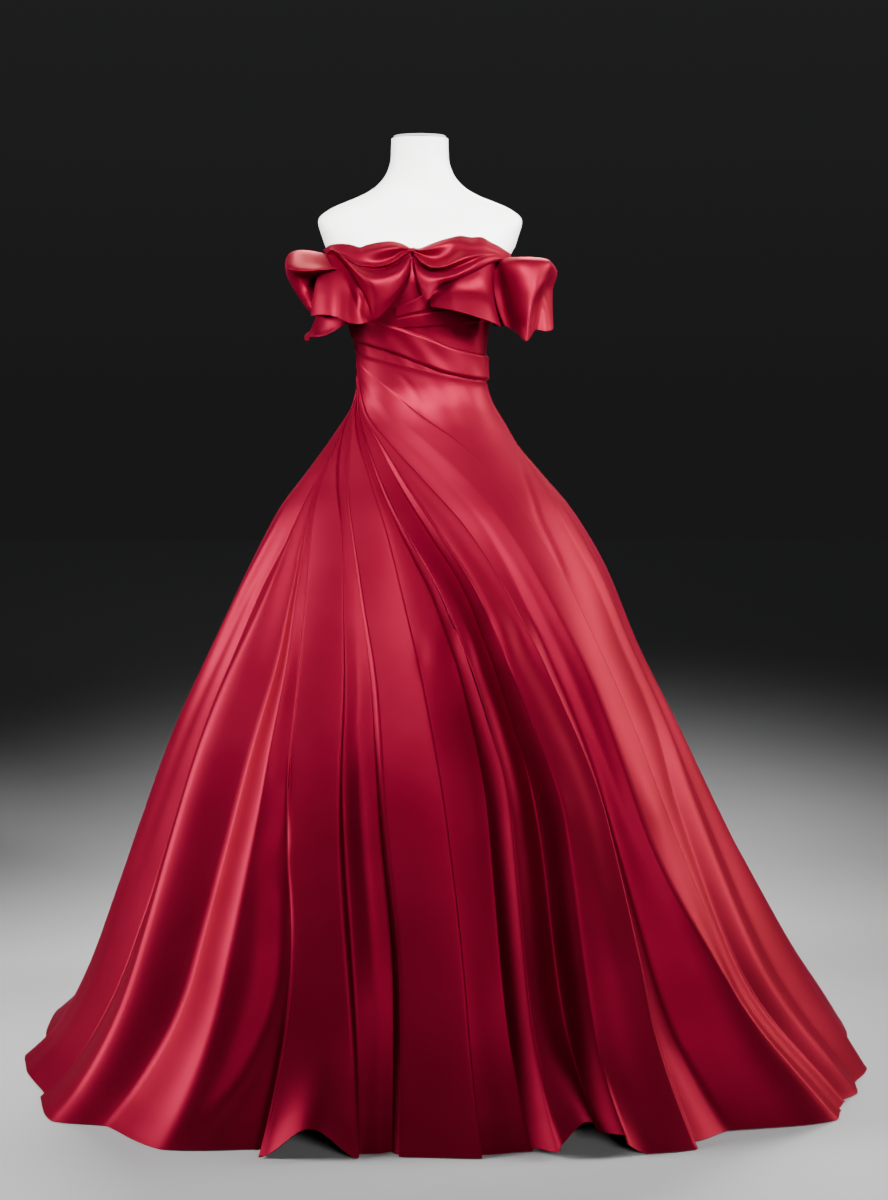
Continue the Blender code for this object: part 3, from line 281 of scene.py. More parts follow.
def dress_sections():
    """The skirt's sections, and above the waist those of the form with the cloth over it."""
    clearance = column_curve(CLEARANCE)
    upper = []
    for row in FORM_SECTIONS[FORM_ROWS_FROM:FORM_ROWS_TO]:
        extra = float(clearance(row[0]))
        upper.append((row[0],) + tuple(value + extra for value in row[1:]))
    return SKIRT_SECTIONS + tuple(upper)


DRESS_SECTIONS = dress_sections()


def dress_radius(height, angle):
    hem = HEM_SQUARENESS * np.clip(1.0 - height / HEM_SQUARE_BELOW, 0, 1)
    return section_radius(DRESS_SECTIONS, height, angle, ROUNDNESS + hem + shoulder_squareness(height))


def place(radius, angle, height):
    """Points from distances to the axis, angles and heights."""
    a = np.radians(angle)
    return np.stack(np.broadcast_arrays(radius * np.sin(a), -radius * np.cos(a), height), axis=-1)


def unit(vectors):
    return vectors / np.maximum(np.linalg.norm(vectors, axis=-1, keepdims=True), 1e-12)


def sheet_normals(points):
    """Unit normals of a grid of points, whose rows run down and whose columns run to growing angles."""
    return unit(np.cross(np.gradient(points, axis=0), np.gradient(points, axis=1)))


def softened(values, times):
    """Numbers softened along their first axis, with both ends kept."""
    values = values.copy()
    for _ in range(times):
        values[1:-1] = 0.25 * values[:-2] + 0.5 * values[1:-1] + 0.25 * values[2:]
    return values


# Meshes

def make_mesh(name, points, faces, look, normals=None):
    mesh = bpy.data.meshes.new(name)
    mesh.from_pydata(points.tolist(), [], faces.tolist() if hasattr(faces, "tolist") else faces)
    mesh.polygons.foreach_set("use_smooth", np.ones(len(mesh.polygons), bool))
    mesh.materials.append(look)
    if normals is not None:
        mesh.normals_split_custom_set_from_vertices(normals.tolist())
    made = bpy.data.objects.new(name, mesh)
    bpy.context.scene.collection.objects.link(made)
    return made


def ring_faces(rows, columns):
    """Faces around closed rings of points that run from the top down, with both ends closed."""
    faces = []
    for r in range(rows - 1):
        for c in range(columns):
            after = (c + 1) % columns
            faces.append((r * columns + c, (r + 1) * columns + c, (r + 1) * columns + after, r * columns + after))
    return faces + [tuple(range(columns)), tuple(range((rows - 1) * columns, rows * columns))[::-1]]


def grid_faces(rows, columns, start=0, flip=False):
    r, c = np.meshgrid(np.arange(rows - 1), np.arange(columns - 1), indexing="ij")
    a = (start + r * columns + c).ravel()
    quads = np.stack([a, a + columns, a + columns + 1, a + 1], axis=1)
    return quads[:, ::-1] if flip else quads


def cloth(name, outer, look, thick, normals=None):
    """A thin shell of cloth under a grid of points, closed along its border."""
    rows, columns = outer.shape[:2]
    if normals is None:
        normals = sheet_normals(outer)
    inner = outer - thick * normals
    far = rows * columns
    grid = np.arange(far).reshape(rows, columns)
    ids = np.concatenate([grid[0], grid[1:, -1], grid[-1, -2::-1], grid[-2:0:-1, 0]])
    after = np.roll(ids, -1)
    rim = np.stack([ids, after, after + far, ids + far], axis=1)
    faces = np.concatenate([grid_faces(rows, columns), grid_faces(rows, columns, far, True), rim])
    points = np.concatenate([outer.reshape(-1, 3), inner.reshape(-1, 3)])
    both = np.concatenate([normals.reshape(-1, 3), -normals.reshape(-1, 3)])
    return make_mesh(name, points, faces, look, both)


# Skirt

def on_dress(angle, height):
    return place(dress_radius(height, angle), angle, height)


def length_along(points):
    return np.concatenate([[0], np.cumsum(np.linalg.norm(np.diff(points, axis=0), axis=1))])


def even_line(knots):
    """Angles and heights at even steps along a line on the cloth, and the line's length."""
    knots = np.asarray(knots, float)
    along = length_along(on_dress(knots[:, 0], knots[:, 1]))
    fine = np.linspace(0, along[-1], LINE_SAMPLES)
    angle = smooth_curve(fine, along, knots[:, 0])
    height = smooth_curve(fine, along, knots[:, 1])
    length = length_along(on_dress(angle, height))
    even = np.linspace(0, length[-1], LINE_SAMPLES)
    return np.interp(even, length, angle), np.interp(even, length, height), length[-1]


def row_shares():
    top = np.linspace(0, TOP_SHARE, SKIRT_TOP_ROWS + 1)
    rest = np.linspace(0, 1, SKIRT_ROWS - SKIRT_TOP_ROWS + 1)[1:]
    return np.concatenate([top, TOP_SHARE + (1 - TOP_SHARE) * rest ** ROW_GROWTH])


SHARES = row_shares()


class Fold:
    """One fold's line on every row, with the lift of the cloth on each side of it."""

    def __init__(self, name, line, left, right=None, turn=0.0):
        angle, height, length = line
        even = np.linspace(0, 1, len(angle))
        self.name = name
        reach, waves, start = SWAYS.get(name, (0.0, 0.0, 0.0))
        sway = reach * SHARES * np.sin(2 * np.pi * (waves * SHARES + start))
        self.angle = softened(np.interp(SHARES, even, angle), LINE_SOFTENING) + turn + sway
        self.height = softened(np.interp(SHARES, even, height), LINE_SOFTENING)
        self.left = self.lift_along(left, length)
        self.right = self.lift_along(right or left, length)
        self.step = right is not None
        self.points = on_dress(self.angle, self.height)

    def lift_along(self, lift, length):
        value = smooth_curve(self.height, LIFT_HEIGHTS[::-1], lift[::-1]) / 1000.0
        drop = WAIST_LIFT + (1 - WAIST_LIFT) * eased((DROP_FROM - self.height) / DROP_OVER)
        return value * eased(SHARES * length / GROWTH) * drop


def fold_line(top_angle, top_height, angles):
    return even_line([(top_angle, top_height)] + list(zip(angles, FOLD_HEIGHTS)))


def make_folds():
    folds = [Fold(name, fold_line(top, WAIST, angles), *lifts) for name, top, angles, *lifts in SIDE_FOLDS]
    folds += [Fold(name, fold_line(top, high, angles), *lifts, turn=360.0)
              for name, top, high, angles, *lifts in FRONT_FOLDS]
    knots = list(WRAP_TOP) + [(RIGHT_SEAM - WRAP_END_SPACE, WAIST)] + list(zip(WRAP_END_ANGLES, FOLD_HEIGHTS))
    folds.append(Fold("wrap_end", even_line(knots), WRAP_END_LIFT, turn=360.0))
    return folds


def fit_steps(folds):
    """Keeps the steps and lifts within the room that the next folds leave."""
    for i, fold in enumerate(folds):
        room = np.full(len(SHARES), 1.0)
        for other in folds[max(i - 1, 0):i + 2]:
            if other is not fold:
                room = np.minimum(room, np.linalg.norm(other.points - fold.points, axis=1))
        room = softened(room, ROOM_SOFTENING)
        roll = SOFT_STEPS.get(fold.name, 0.0) * eased((SOFT_FROM - fold.height) / SOFT_OVER)
        fold.half = np.minimum(STEP_HALF + roll * (SOFT_HALF - STEP_HALF), (STEP_ROOM + roll * SOFT_ROOM) * room)
        height = np.abs(fold.right - fold.left) + 1e-9
        more = 1 + LOW_ROOM * eased((SOFT_FROM - fold.height) / SOFT_OVER)
        ratio = np.minimum(1.0, STEP_HEIGHT_ROOM * more * room / height)
        middle = (fold.right + fold.left) / 2
        held = np.sign(middle) * np.minimum(np.abs(middle), LIFT_ROOM * more * room)
        fold.left, fold.right = (held + (side - middle) * ratio for side in (fold.left, fold.right))
        height = fold.left - fold.right
        reach = np.minimum(np.minimum(OVERHANG * np.abs(height), OVERHANG_MOST), OVERHANG_ROOM * room)
        fold.overhang = np.sign(height) * reach * (1 - roll)


def across_direction(folds, i):
    """Unit vectors across a fold, along the cloth and square to the fold's line."""
    before = folds[max(i - 1, 0)].points
    after = folds[min(i + 1, len(folds) - 1)].points
    line = unit(np.gradient(folds[i].points, axis=0))
    across = after - before
    return unit(across - line * np.sum(across * line, axis=1, keepdims=True))


def skirt_grid(folds):
    """Points of the whole skirt, and the column at which each fold lies."""
    columns, shift, at = [], [], {}
    for i, (first, second) in enumerate(zip(folds, folds[1:])):
        width = np.linalg.norm(second.points - first.points, axis=1)
        spacing = BACK_SPACING if i < len(SIDE_FOLDS) - 2 else COLUMN_SPACING
        count = max(LEAST_COLUMNS, round(float(np.percentile(width, WIDTH_PERCENT)) / spacing))
        start = first.half / width if first.step else np.zeros_like(width)
        end = 1 - (second.half / width if second.step else 0.0)
        if not first.step:
            at[first.name] = len(columns)
        for k in range(count + 1):
            share = k / count
            if k == count and not second.step and second is not folds[-1]:
                continue
            pos = start + (end - start) * share
            blend = (share + eased(share)) / 2
            lift = first.right + (second.left - first.right) * blend
            if second is folds[-1]:
                lift = lift + LIP * np.exp(-((1 - share) * width / LIP_WIDTH) ** 2)
            columns.append((first.angle + (second.angle - first.angle) * pos,
                            first.height + (second.height - first.height) * pos, lift))
            shift.append(None)
        if second.step:
            across = across_direction(folds, i + 1)
            at[second.name] = len(columns) + STEP_COLUMNS // 2
            for k in range(STEP_COLUMNS):
                s = (k + 1) / (STEP_COLUMNS + 1)
                move = second.half * (2 * s - 1) + OVERHANG_SWING * second.overhang * s * (1 - s) * (1 - 2 * s)
                lift = second.left + (second.right - second.left) * eased(s)
                columns.append((second.angle, second.height, lift))
                shift.append(across * move[:, None])
    at[folds[-1].name] = len(columns) - 1
    angle, height, lift = (np.stack([column[j] for column in columns], axis=1) for j in range(3))
    lift = lift + crease_lift(angle, height)
    radius = dress_radius(height, angle) + lift
    height = height + hem_lift(angle - 360.0, height)
    points = place(radius, angle, height)
    for c, move in enumerate(shift):
        if move is not None:
            points[:, c] += move
    points[..., 2] = np.maximum(points[..., 2], FLOOR_GAP)
    return points, at


def hem_lift(angle, height):
    lift = np.zeros_like(height)
    for centre, half, rise in HEM_ARCHES:
        near = 1 - np.abs(angle - centre) / half
        low = np.clip(1 - height / HEM_ARCH_HEIGHT, 0, 1)
        lift = lift + rise * eased(near) * low ** 2
    return lift


def soft_waves(across, along, seed, count, lengths):
    """Uneven soft waves with heights about 1, in the units of the places and lengths."""
    chance = np.random.default_rng(seed)
    total = np.zeros(np.broadcast(across, along).shape)
    for _ in range(count):
        long_across = chance.uniform(*lengths[0])
        long_along = chance.uniform(*lengths[1]) * chance.choice([-1, 1])
        turn = 2 * np.pi * (across / long_across + along / long_along) + chance.uniform(0, 2 * np.pi)
        total = total + np.sin(turn)
    return total / math.sqrt(count)


def crease_lift(angle, height):
    lift = np.zeros_like(height)
    turned = np.where(angle > 300, angle - 360.0, angle)
    radius = dress_radius(height, angle)
    for place_angle, place_height, depth, wide, tall in PUCKERS:
        across = np.radians(turned - place_angle) * radius / wide
        down = (height - place_height) / tall
        lift = lift + depth / 1000.0 * np.exp(-across ** 2 - down ** 2)
    places = np.mean(np.radians(angle) * radius, axis=0)
    rows = np.linspace(0, 1, len(angle))[:, None]
    level = eased((WAVES_BELOW - height) / WAVES_OVER)
    for swing, seed, lengths in SOFT_WAVES:
        lift = lift + swing * level * soft_waves(places[None, :], rows, seed, WAVE_COUNT, lengths)
    for depth, width, line in CREASES:
        rows = np.asarray(line, float)[::-1]
        centre = smooth_curve(height, rows[:, 0], rows[:, 1])
        across = np.radians(turned - centre) * radius * 1000.0
        span = rows[-1, 0] - rows[0, 0]
        into = np.minimum(height - rows[0, 0] + CREASE_OVER, rows[-1, 0] - height) / (CREASE_FADE * span)
        lift = lift + depth / 1000.0 * np.exp(-(across / width) ** 2) * eased(into)
    return lift


def make_skirt(look):
    folds = make_folds()
    fit_steps(folds)
    points, at = skirt_grid(folds)
    normals = sheet_normals(points)
    for node, first, last in PANELS:
        part = slice(at[first], at[last] + 1)
        finish_cloth(node + "_satin", node, points[:, part], look, THICK, normals[:, part])


# Collar and bodice

# Control points of the loose pieces: across and down in the frame of the camera below, and depth y in mm
# Each row runs from left to right, the rows from the neckline to the free edge
CAMERA_PLACE = (0.0435, -4.2, 1.2)
CAMERA_PITCH = 5.05
CAMERA_REACH = 2307.0
FRAME_MIDDLE = (444.0, 600.0)

WING_LEFT = (
    ((323, 250, -30), (330, 245, -50), (340, 243.5, -74), (351, 244.5, -85), (360, 247, -92), (367, 244.5, -96),
     (379, 242, -100), (391, 241, -102), (402, 243.5, -104), (410, 247.5, -108)),
    ((324, 251, -46), (330, 248, -66), (339, 250, -86), (349, 252, -98), (358, 253, -104), (367, 252, -111),
     (379, 250, -121), (391, 248, -124), (401, 247.5, -121), (410, 249, -117)),
    ((325, 252, -52), (330, 248.5, -70), (338, 251.5, -87), (346, 256.5, -101), (354, 261, -113), (365, 262.5, -118),
     (379, 262, -118), (392, 258, -116), (402, 252, -117), (410, 250.5, -118)),
    ((325, 252.5, -56), (330, 249, -74), (338, 252.5, -94), (347, 259, -112), (357, 264.5, -127), (369, 266, -136),
     (382, 265.5, -138), (394, 261, -136), (403, 255, -131), (410, 252, -121)),
    ((326, 253, -60), (331, 249.5, -79), (339, 254, -98), (350, 262, -118), (362, 268, -131), (375, 270, -131),
     (387, 268.5, -125), (397, 264, -122), (404, 258, -121), (410.3, 253.5, -120)),
    ((326, 253.5, -64), (332, 250, -87), (342, 257.5, -115), (355, 270, -144), (367, 278, -160), (378, 279, -163),
     (390, 276, -160), (400, 271, -154), (407, 263, -143), (410.7, 255.5, -123)),
    ((327, 254.5, -64), (335, 252, -91), (348, 265, -122), (363, 285, -149), (375, 296, -161), (386, 296, -161),
     (396, 289, -157), (404, 279, -151), (409, 267, -140), (411, 257, -122)),
    ((328, 256, -62), (340, 258, -88), (356, 280, -118), (368, 303, -138), (374, 319, -150), (388, 308, -150),
     (398, 295, -146), (405, 283, -141), (410, 270, -133), (411.3, 258.5, -120)),
)
LOBE_LEFT = (
    ((321, 257, -38), (325, 255, -56), (332, 254, -72), (340, 257, -84), (350, 264, -96), (360, 278, -107),
     (368, 291, -116), (375, 303, -121)),
    ((317, 276, -62), (318, 275, -96), (327, 275, -114), (338, 276, -122), (349, 279, -120), (359, 288, -118),
     (367, 297, -122), (374, 308, -128)),
    ((314.5, 290, -72), (315, 290, -112), (325, 290, -134), (337, 291, -141), (348, 293, -131), (358, 298, -120),
     (366, 305, -127), (373, 312, -136)),
    ((313, 303, -80), (312.5, 303, -118), (323, 303, -144), (336, 304, -153), (347, 307, -142), (357, 311, -128),
     (365, 314, -134), (372, 316, -141)),
    ((313, 314, -86), (311, 316, -122), (321, 314.5, -150), (335, 316.5, -162), (347, 322, -152), (358, 323.8, -138),
     (366, 322.5, -138), (373, 319.5, -143)),
)
LOOP_LEFT = (
    ((338, 284, 58), (331, 268, 58), (330, 262, 52), (329, 259, 40), (329, 258, 26), (329, 257, 12), (329, 257, -5),
     (330, 256, -24), (331, 256, -40), (334, 256, -56)),
    ((331, 306, 50), (318, 294, 54), (312, 282, 46), (308, 270, 34), (306, 260, 20), (307, 254, 5), (311, 251.5, -12),
     (318, 252, -32), (325, 254, -52), (330, 257, -72)),
    ((323, 316, 26), (307, 305, 30), (297, 291, 26), (289, 276, 14), (287, 262, 0), (290, 253.5, -15),
     (297, 250.5, -30), (307, 252, -48), (318, 256, -66), (328, 260, -84)),
    ((321, 316, -28), (307, 307, -28), (296, 292, -28), (289, 280, -35), (286, 268, -45), (287, 260, -60),
     (293, 258, -76), (304, 261.5, -90), (317, 264, -98), (331, 264.5, -103)),
    ((320, 317, -76), (311.5, 313, -88), (303, 302, -86), (295, 290, -86), (289.5, 277, -92), (287.5, 268.5, -104),
     (293, 268.8, -119), (304, 270.2, -125), (320, 269.5, -123), (336, 268.5, -117)),
    ((325, 312, -70), (319, 307, -84), (312, 297, -88), (305, 288, -92), (300, 281, -98), (298, 275.8, -104),
     (301, 273.5, -109), (308, 272.8, -112), (321, 271.8, -112), (336, 270, -108)),
    ((333, 309, -50), (329, 304, -56), (325, 299, -60), (321, 293, -62), (318, 288, -63), (316, 284, -64),
     (317, 281, -65), (321, 279, -66), (330, 277, -66), (340, 275, -64)),
)
WING_RIGHT = (
    ((412.5, 247.5, -108), (420, 248, -106), (430, 244, -103), (441, 240, -99), (452, 237, -96), (461, 235.5, -94),
     (471, 237, -91), (482, 237, -86), (491, 242, -79), (500, 246.5, -66), (511, 254, -34)),
    ((412.5, 249, -117), (420, 250, -121), (430, 248.5, -121), (441, 245.5, -117), (451, 243, -111), (461, 242, -113),
     (472, 244, -114), (483, 244.5, -104), (492, 248, -92), (501, 251.5, -76), (511, 256, -46)),
    ((412.8, 250.5, -117), (419, 253.5, -115), (427, 257, -114), (437, 258.5, -115), (448, 256, -119),
     (459, 251, -124), (470, 250, -124), (482, 250, -113), (492, 251.5, -97), (501, 253.5, -79), (511, 257, -50)),
    ((412.8, 252, -120), (417, 257, -131), (423, 262.5, -140), (433, 267, -145), (446, 265.5, -147),
     (458, 260.5, -146), (470, 256.5, -138), (482, 254.5, -122), (492, 254, -102), (501, 255, -82), (511, 257.8, -53)),
    ((413, 253.5, -119), (416, 259.5, -122), (421, 266, -124), (430, 270, -125), (442, 271, -129), (455, 268, -134),
     (468, 262.5, -134), (481, 257.5, -123), (492, 255.5, -104), (501, 256, -84), (511, 258.5, -55)),
    ((413, 255, -121), (415, 263, -137), (419, 271, -148), (428, 276.5, -155), (441, 277, -157), (455, 274, -155),
     (469, 267.5, -147), (482, 260.5, -130), (492, 257.5, -108), (501, 257, -87), (511, 259, -57)),
    ((412.5, 257, -121), (414, 268, -139), (418, 279, -151), (427, 289, -158), (440, 281.5, -158), (455, 277.5, -155),
     (470, 271, -146), (483, 264.5, -129), (493, 260, -108), (502, 258.5, -87), (511.5, 260, -58)),
    ((412, 258.5, -119), (413.5, 272, -136), (418.5, 286, -149), (427.5, 299.5, -157), (440, 284.5, -154),
     (455, 279.5, -151), (470, 273.5, -142), (483, 267.5, -125), (493, 262.5, -105), (502, 260.5, -84),
     (511.5, 261.5, -56)),
)
FLOUNCE_FRONT = (
    ((428, 286, -116), (440, 274, -118), (452, 270, -118), (465, 266, -114), (477, 262, -106), (487, 262, -98),
     (494, 264, -86), (494, 266, -74)),
    ((429, 293, -121), (441, 286, -123), (453, 283, -127), (466, 280, -122), (478, 277, -117), (487, 278, -109),
     (492.5, 279, -96), (491, 280, -80)),
    ((430, 299, -127), (442, 294, -127), (453, 291, -134), (466, 291, -128), (479, 291, -125), (488.5, 293, -118),
     (493.5, 295, -102), (491, 295, -84)),
    ((430, 303, -132), (443, 299, -141), (454, 298, -151), (467, 299.5, -150), (481, 302, -147), (491, 305.5, -136),
     (496, 308, -116), (492, 309, -90)),
    ((430, 306, -137), (444, 308.5, -156), (455, 310.5, -169), (469, 314, -172), (483, 318.5, -165), (494, 323, -150),
     (501, 327, -124), (496, 324, -96)),
)
FLOUNCE_RIGHT = (
    ((491, 262, -80), (496, 259.5, -72), (498, 258.5, -66), (500, 257.5, -58), (503, 257, -48), (506, 257, -36),
     (508, 257.5, -24), (509, 258, -10), (510, 258.5, 4), (510, 259, 18), (510, 260, 32), (508, 262, 46)),
    ((492, 275, -80), (499, 271, -86), (503, 265, -104), (518, 261, -112), (534, 259.5, -104), (547, 259.5, -84),
     (551, 262, -54), (553, 264, -28), (554, 266, -4), (554, 268, 18), (548, 268, 38), (538, 270, 56)),
    ((494, 292, -78), (503, 290, -82), (509, 286, -110), (523, 284, -125), (536.5, 283, -124), (546, 279, -98),
     (545, 285, -66), (546, 290, -46), (552, 290, -14), (552, 290, 18), (545, 292, 44), (532, 294, 66)),
    ((498, 310, -78), (507, 310, -84), (512.5, 309, -108), (522.5, 310, -126), (531, 308, -130), (534, 303, -108),
     (539, 304, -70), (547, 307, -56), (552.5, 308, -26), (550, 308, 14), (540, 308, 44), (526, 310, 68)),
    ((504, 325, -82), (511, 329, -88), (517, 333, -106), (522.5, 338.5, -126), (527, 341, -134), (531, 336.5, -114),
     (536, 330, -72), (547, 331, -66), (553.5, 328, -38), (546, 322, 10), (534, 318, 42), (521, 320, 66)),
)
PATCH_FINE = 12
KNOT_PLACE = (411.2, 251.0, -113.0)
KNOT_SIZE = (0.0048, 0.0105, 0.0056)
KNOT_WRAP = 118
KNOT_COLUMNS = 41
KNOT_ROWS = 61
KNOT_RIB = 0.10
KNOT_FLARE = 0.22
KNOT_BULGE = 0.15

# Bodice: upper edge, then the draped bands with their distance out and their lower and upper edges
BODICE_TOP = ((-180, 1.436), (-90, 1.442), (-45, 1.45), (-9, 1.444), (45, 1.452), (90, 1.444),
              (180, 1.436))
BODICE_BANDS = (
    ("band_cross_low", 0.0026, ((-20, 1.318, 1.336), (20, 1.322, 1.352), (85, 1.336, 1.376))),
    ("band_cross_high", 0.0026, ((-20, 1.338, 1.354), (20, 1.354, 1.392), (85, 1.378, 1.424))),
    ("band_upper", 0.0056, ((-85, 1.302, 1.352), (-60, 1.291, 1.342), (-25, 1.2735, 1.3245),
                            (0, 1.2555, 1.31), (38, 1.235, 1.285), (62, 1.229, 1.277),
                            (85, 1.227, 1.274))),
)
# How far the bodice goes on under the wrap and the skirt, the room at its seams and at the centre back
UNDER_WRAP = 0.010
UNDER_WAIST = 0.002
SEAM_DEGREES = 0.3
BACK_EDGE = 179.9
BODICE_ROWS = 40
BAND_ROWS = 26
BODICE_STEP = 1.5
BODICE_REACH = 0.11
BODICE_RIPPLE = 0.0004
BAND_RIPPLE = 0.0005
RIPPLE_COUNT = 4
RIPPLE_LENGTHS = ((0.03, 0.06), (0.08, 0.2))
BAND_EDGE = 0.25

# The placket over the zip, with its lips' thickness and the groove between them
ZIP_WIDTH = 0.010
ZIP_TOP = 1.433
ZIP_BOTTOM = 1.060
ZIP_ROWS = 90
ZIP_COLUMNS = 21
ZIP_THICK = 0.0006
ZIP_LIP = 0.0016
ZIP_GROOVE = 0.0014
ZIP_OUT = 0.0004
ZIP_LIFT = 0.001

# Pieces told by sections: angle, then distance out and height of the top, the crest, the belly and the edge
FLOUNCE_LEFT_LOW = (
    (-110, -0.003, 1.432, 0.01, 1.397, 0.024, 1.345, 0.036, 1.33),
    (-103, -0.0028, 1.431, 0.01, 1.395, 0.03, 1.338, 0.048, 1.316),
    (-96, -0.0028, 1.431, 0.01, 1.395, 0.032, 1.332, 0.054, 1.31),
    (-90, -0.0028, 1.431, 0.01, 1.395, 0.036, 1.33, 0.05, 1.301),
    (-84, -0.0027, 1.431, 0.01, 1.395, 0.032, 1.33, 0.044, 1.3),
    (-77, -0.0025, 1.431, 0.01, 1.395, 0.028, 1.328, 0.044, 1.306),
    (-70, -0.002, 1.431, 0.01, 1.395, 0.024, 1.328, 0.034, 1.306),
    (-63, -0.0014, 1.431, 0.008, 1.395, 0.018, 1.332, 0.026, 1.312),
    (-56, -0.0012, 1.431, 0.006, 1.395, 0.012, 1.342, 0.014, 1.326),
)
BACK_FROM = 106.0
BACK_TO = 247.5
BACK_WAVES = 6
BACK_COLUMNS = 61
# height, mean distance out, wave out, wave up
BACK_PROFILE = ((1.4395, 0.0016, 0, 0), (1.437, 0.026, 0.006, 0.002), (1.4, 0.046, 0.014, 0.003),
                (1.335, 0.05, 0.024, 0.006))
COLLAR_LEVEL = 1.440
BUST_LEVEL = 1.39


def seen(across, down, depth):
    """The point at this depth that the camera sees at this place of its frame."""
    pitch = np.radians(CAMERA_PITCH)
    u = (across - FRAME_MIDDLE[0]) / CAMERA_REACH
    w = (FRAME_MIDDLE[1] - down) / CAMERA_REACH
    reach = (depth / 1000.0 - CAMERA_PLACE[1]) / (np.cos(pitch) + w * np.sin(pitch))
    height = CAMERA_PLACE[2] + reach * (w * np.cos(pitch) - np.sin(pitch))
    return np.stack([CAMERA_PLACE[0] + reach * u, depth / 1000.0, height], axis=-1)


def spline(values, fine):
    """A curve through the values along their first axis, with this many points between each two."""
    ends = [2 * values[:1] - values[1:2], values, 2 * values[-1:] - values[-2:-1]]
    v = np.concatenate(ends)
    t = np.linspace(0, 1, fine, endpoint=False).reshape((-1,) + (1,) * (values.ndim - 1))
    out = []
    for i in range(len(values) - 1):
        a, b, c, d = v[i:i + 4]
        out.append(b + 0.5 * t * (c - a + t * (2 * a - 5 * b + 4 * c - d + t * (3 * (b - c) + d - a))))
    out.append(values[-1:])
    return np.concatenate(out)


def patch(table, fine=PATCH_FINE):
    """A smooth sheet through a table of points in the camera's frame."""
    points = seen(*np.moveaxis(np.asarray(table, float), -1, 0))
    sheet = spline(points, fine)
    return np.swapaxes(spline(np.swapaxes(sheet, 0, 1), fine), 0, 1)


def body_radius(height, angle):
    """What the collar stands out from: the shoulders, and below the neckline the fullest outline so far."""
    bust = dress_radius(np.clip(height, BUST_LEVEL, COLLAR_LEVEL), angle)
    fullest = np.maximum(dress_radius(COLLAR_LEVEL, angle), bust)
    return np.where(height > COLLAR_LEVEL, dress_radius(height, angle), fullest)


def section_sheet(table, across, down):
    """A smooth sheet through sections of the collar, with this many points between each two of the table."""
    rows = spline(np.asarray(table, float), across)
    sections = np.stack([rows[:, 1:8:2], rows[:, 2:9:2]], axis=-1)
    fine = spline(np.swapaxes(sections, 0, 1), down)
    out, height = fine[..., 0], fine[..., 1]
    angle = np.broadcast_to(rows[:, 0], out.shape)
    return place(body_radius(height, angle) + out, angle, height)


def back_flounce():
    rows = []
    for i, angle in enumerate(np.linspace(BACK_FROM, BACK_TO, BACK_COLUMNS)):
        turn = 2 * math.pi * BACK_WAVES * i / (BACK_COLUMNS - 1)
        wave = math.sin(turn + 0.35 * math.sin(turn / 2.3 + 0.7))
        row = [angle]
        for height, out, swing, rise in BACK_PROFILE:
            row += [out + swing * wave, height + rise * math.cos(turn * 0.5 + 1.0)]
        rows.append(row)
    return section_sheet(rows, 4, 10)


def finish_cloth(name, node, outer, look, thick=COLLAR_THICK, normals=None):
    """Makes a cloth piece, attaches it to the root body, and hides the CAD part that it stands for."""
    piece = cloth(name, outer, look, thick, normals)
    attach(piece, "root")
    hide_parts(node)


def make_collar(look):
    for name, node, outer in (
            ("bow_left_wing", "bow_left", patch(WING_LEFT)),
            ("bow_left_lobe", "bow_left", patch(LOBE_LEFT)),
            ("flounce_left_loop", "flounce_left_side", patch(LOOP_LEFT)),
            ("flounce_left_low_layer", "flounce_left_low", section_sheet(FLOUNCE_LEFT_LOW, 10, 9)),
            ("bow_right_wing", "bow_right", patch(WING_RIGHT)),
            ("flounce_right_front_layer", "flounce_right_front", patch(FLOUNCE_FRONT)),
            ("flounce_right_side_layer", "flounce_right_side", patch(FLOUNCE_RIGHT)),
            ("flounce_back_waves", "flounce_back", back_flounce()),
            ("bow_knot_band", "bow_knot", knot_band())):
        finish_cloth(name, node, outer, look)


def knot_band():
    """The pinched band round the bow's middle, with small gathers across it."""
    across = np.linspace(-1, 1, KNOT_COLUMNS)[None, :]
    around = np.linspace(math.radians(KNOT_WRAP), math.radians(-KNOT_WRAP), KNOT_ROWS)[:, None]
    middle = seen(*KNOT_PLACE)
    ribs = 1 + KNOT_RIB * np.cos(5 * np.pi * across) * np.sin(around * 1.2 + 0.4) ** 2
    waist = (1 + KNOT_FLARE * across ** 2) * ribs
    out = KNOT_SIZE[1] * np.cos(around) * waist
    up = KNOT_SIZE[2] * np.sin(around) * waist
    side = KNOT_SIZE[0] * across * (1 + KNOT_BULGE * np.abs(np.sin(around)))
    return np.stack(np.broadcast_arrays(middle[0] + side, middle[1] - out, middle[2] + up), axis=-1)


def bodice_sheet(start, end, low, high, out=0.0, rows=BODICE_ROWS, seed=3, ripple=BODICE_RIPPLE):
    """A close layer of the bodice between two angles and two edges, with a small ripple."""
    angle = np.linspace(start, end, max(3, round((end - start) / BODICE_STEP)) + 1)[None, :]
    share = np.linspace(1, 0, rows)[:, None]
    bottom, top = low(angle), high(angle)
    height = bottom + (top - bottom) * share
    angle = np.broadcast_to(angle, height.shape)
    arc = np.radians(angle) * BODICE_REACH
    lift = ripple * soft_waves(arc + 0.5 * height, height, seed, RIPPLE_COUNT, RIPPLE_LENGTHS)
    edge = np.sin(np.pi * np.clip(np.minimum(share, 1 - share) / BAND_EDGE, 0, 0.5)) if out else 1.0
    return place(dress_radius(height, angle) + out * edge + lift, angle, height)


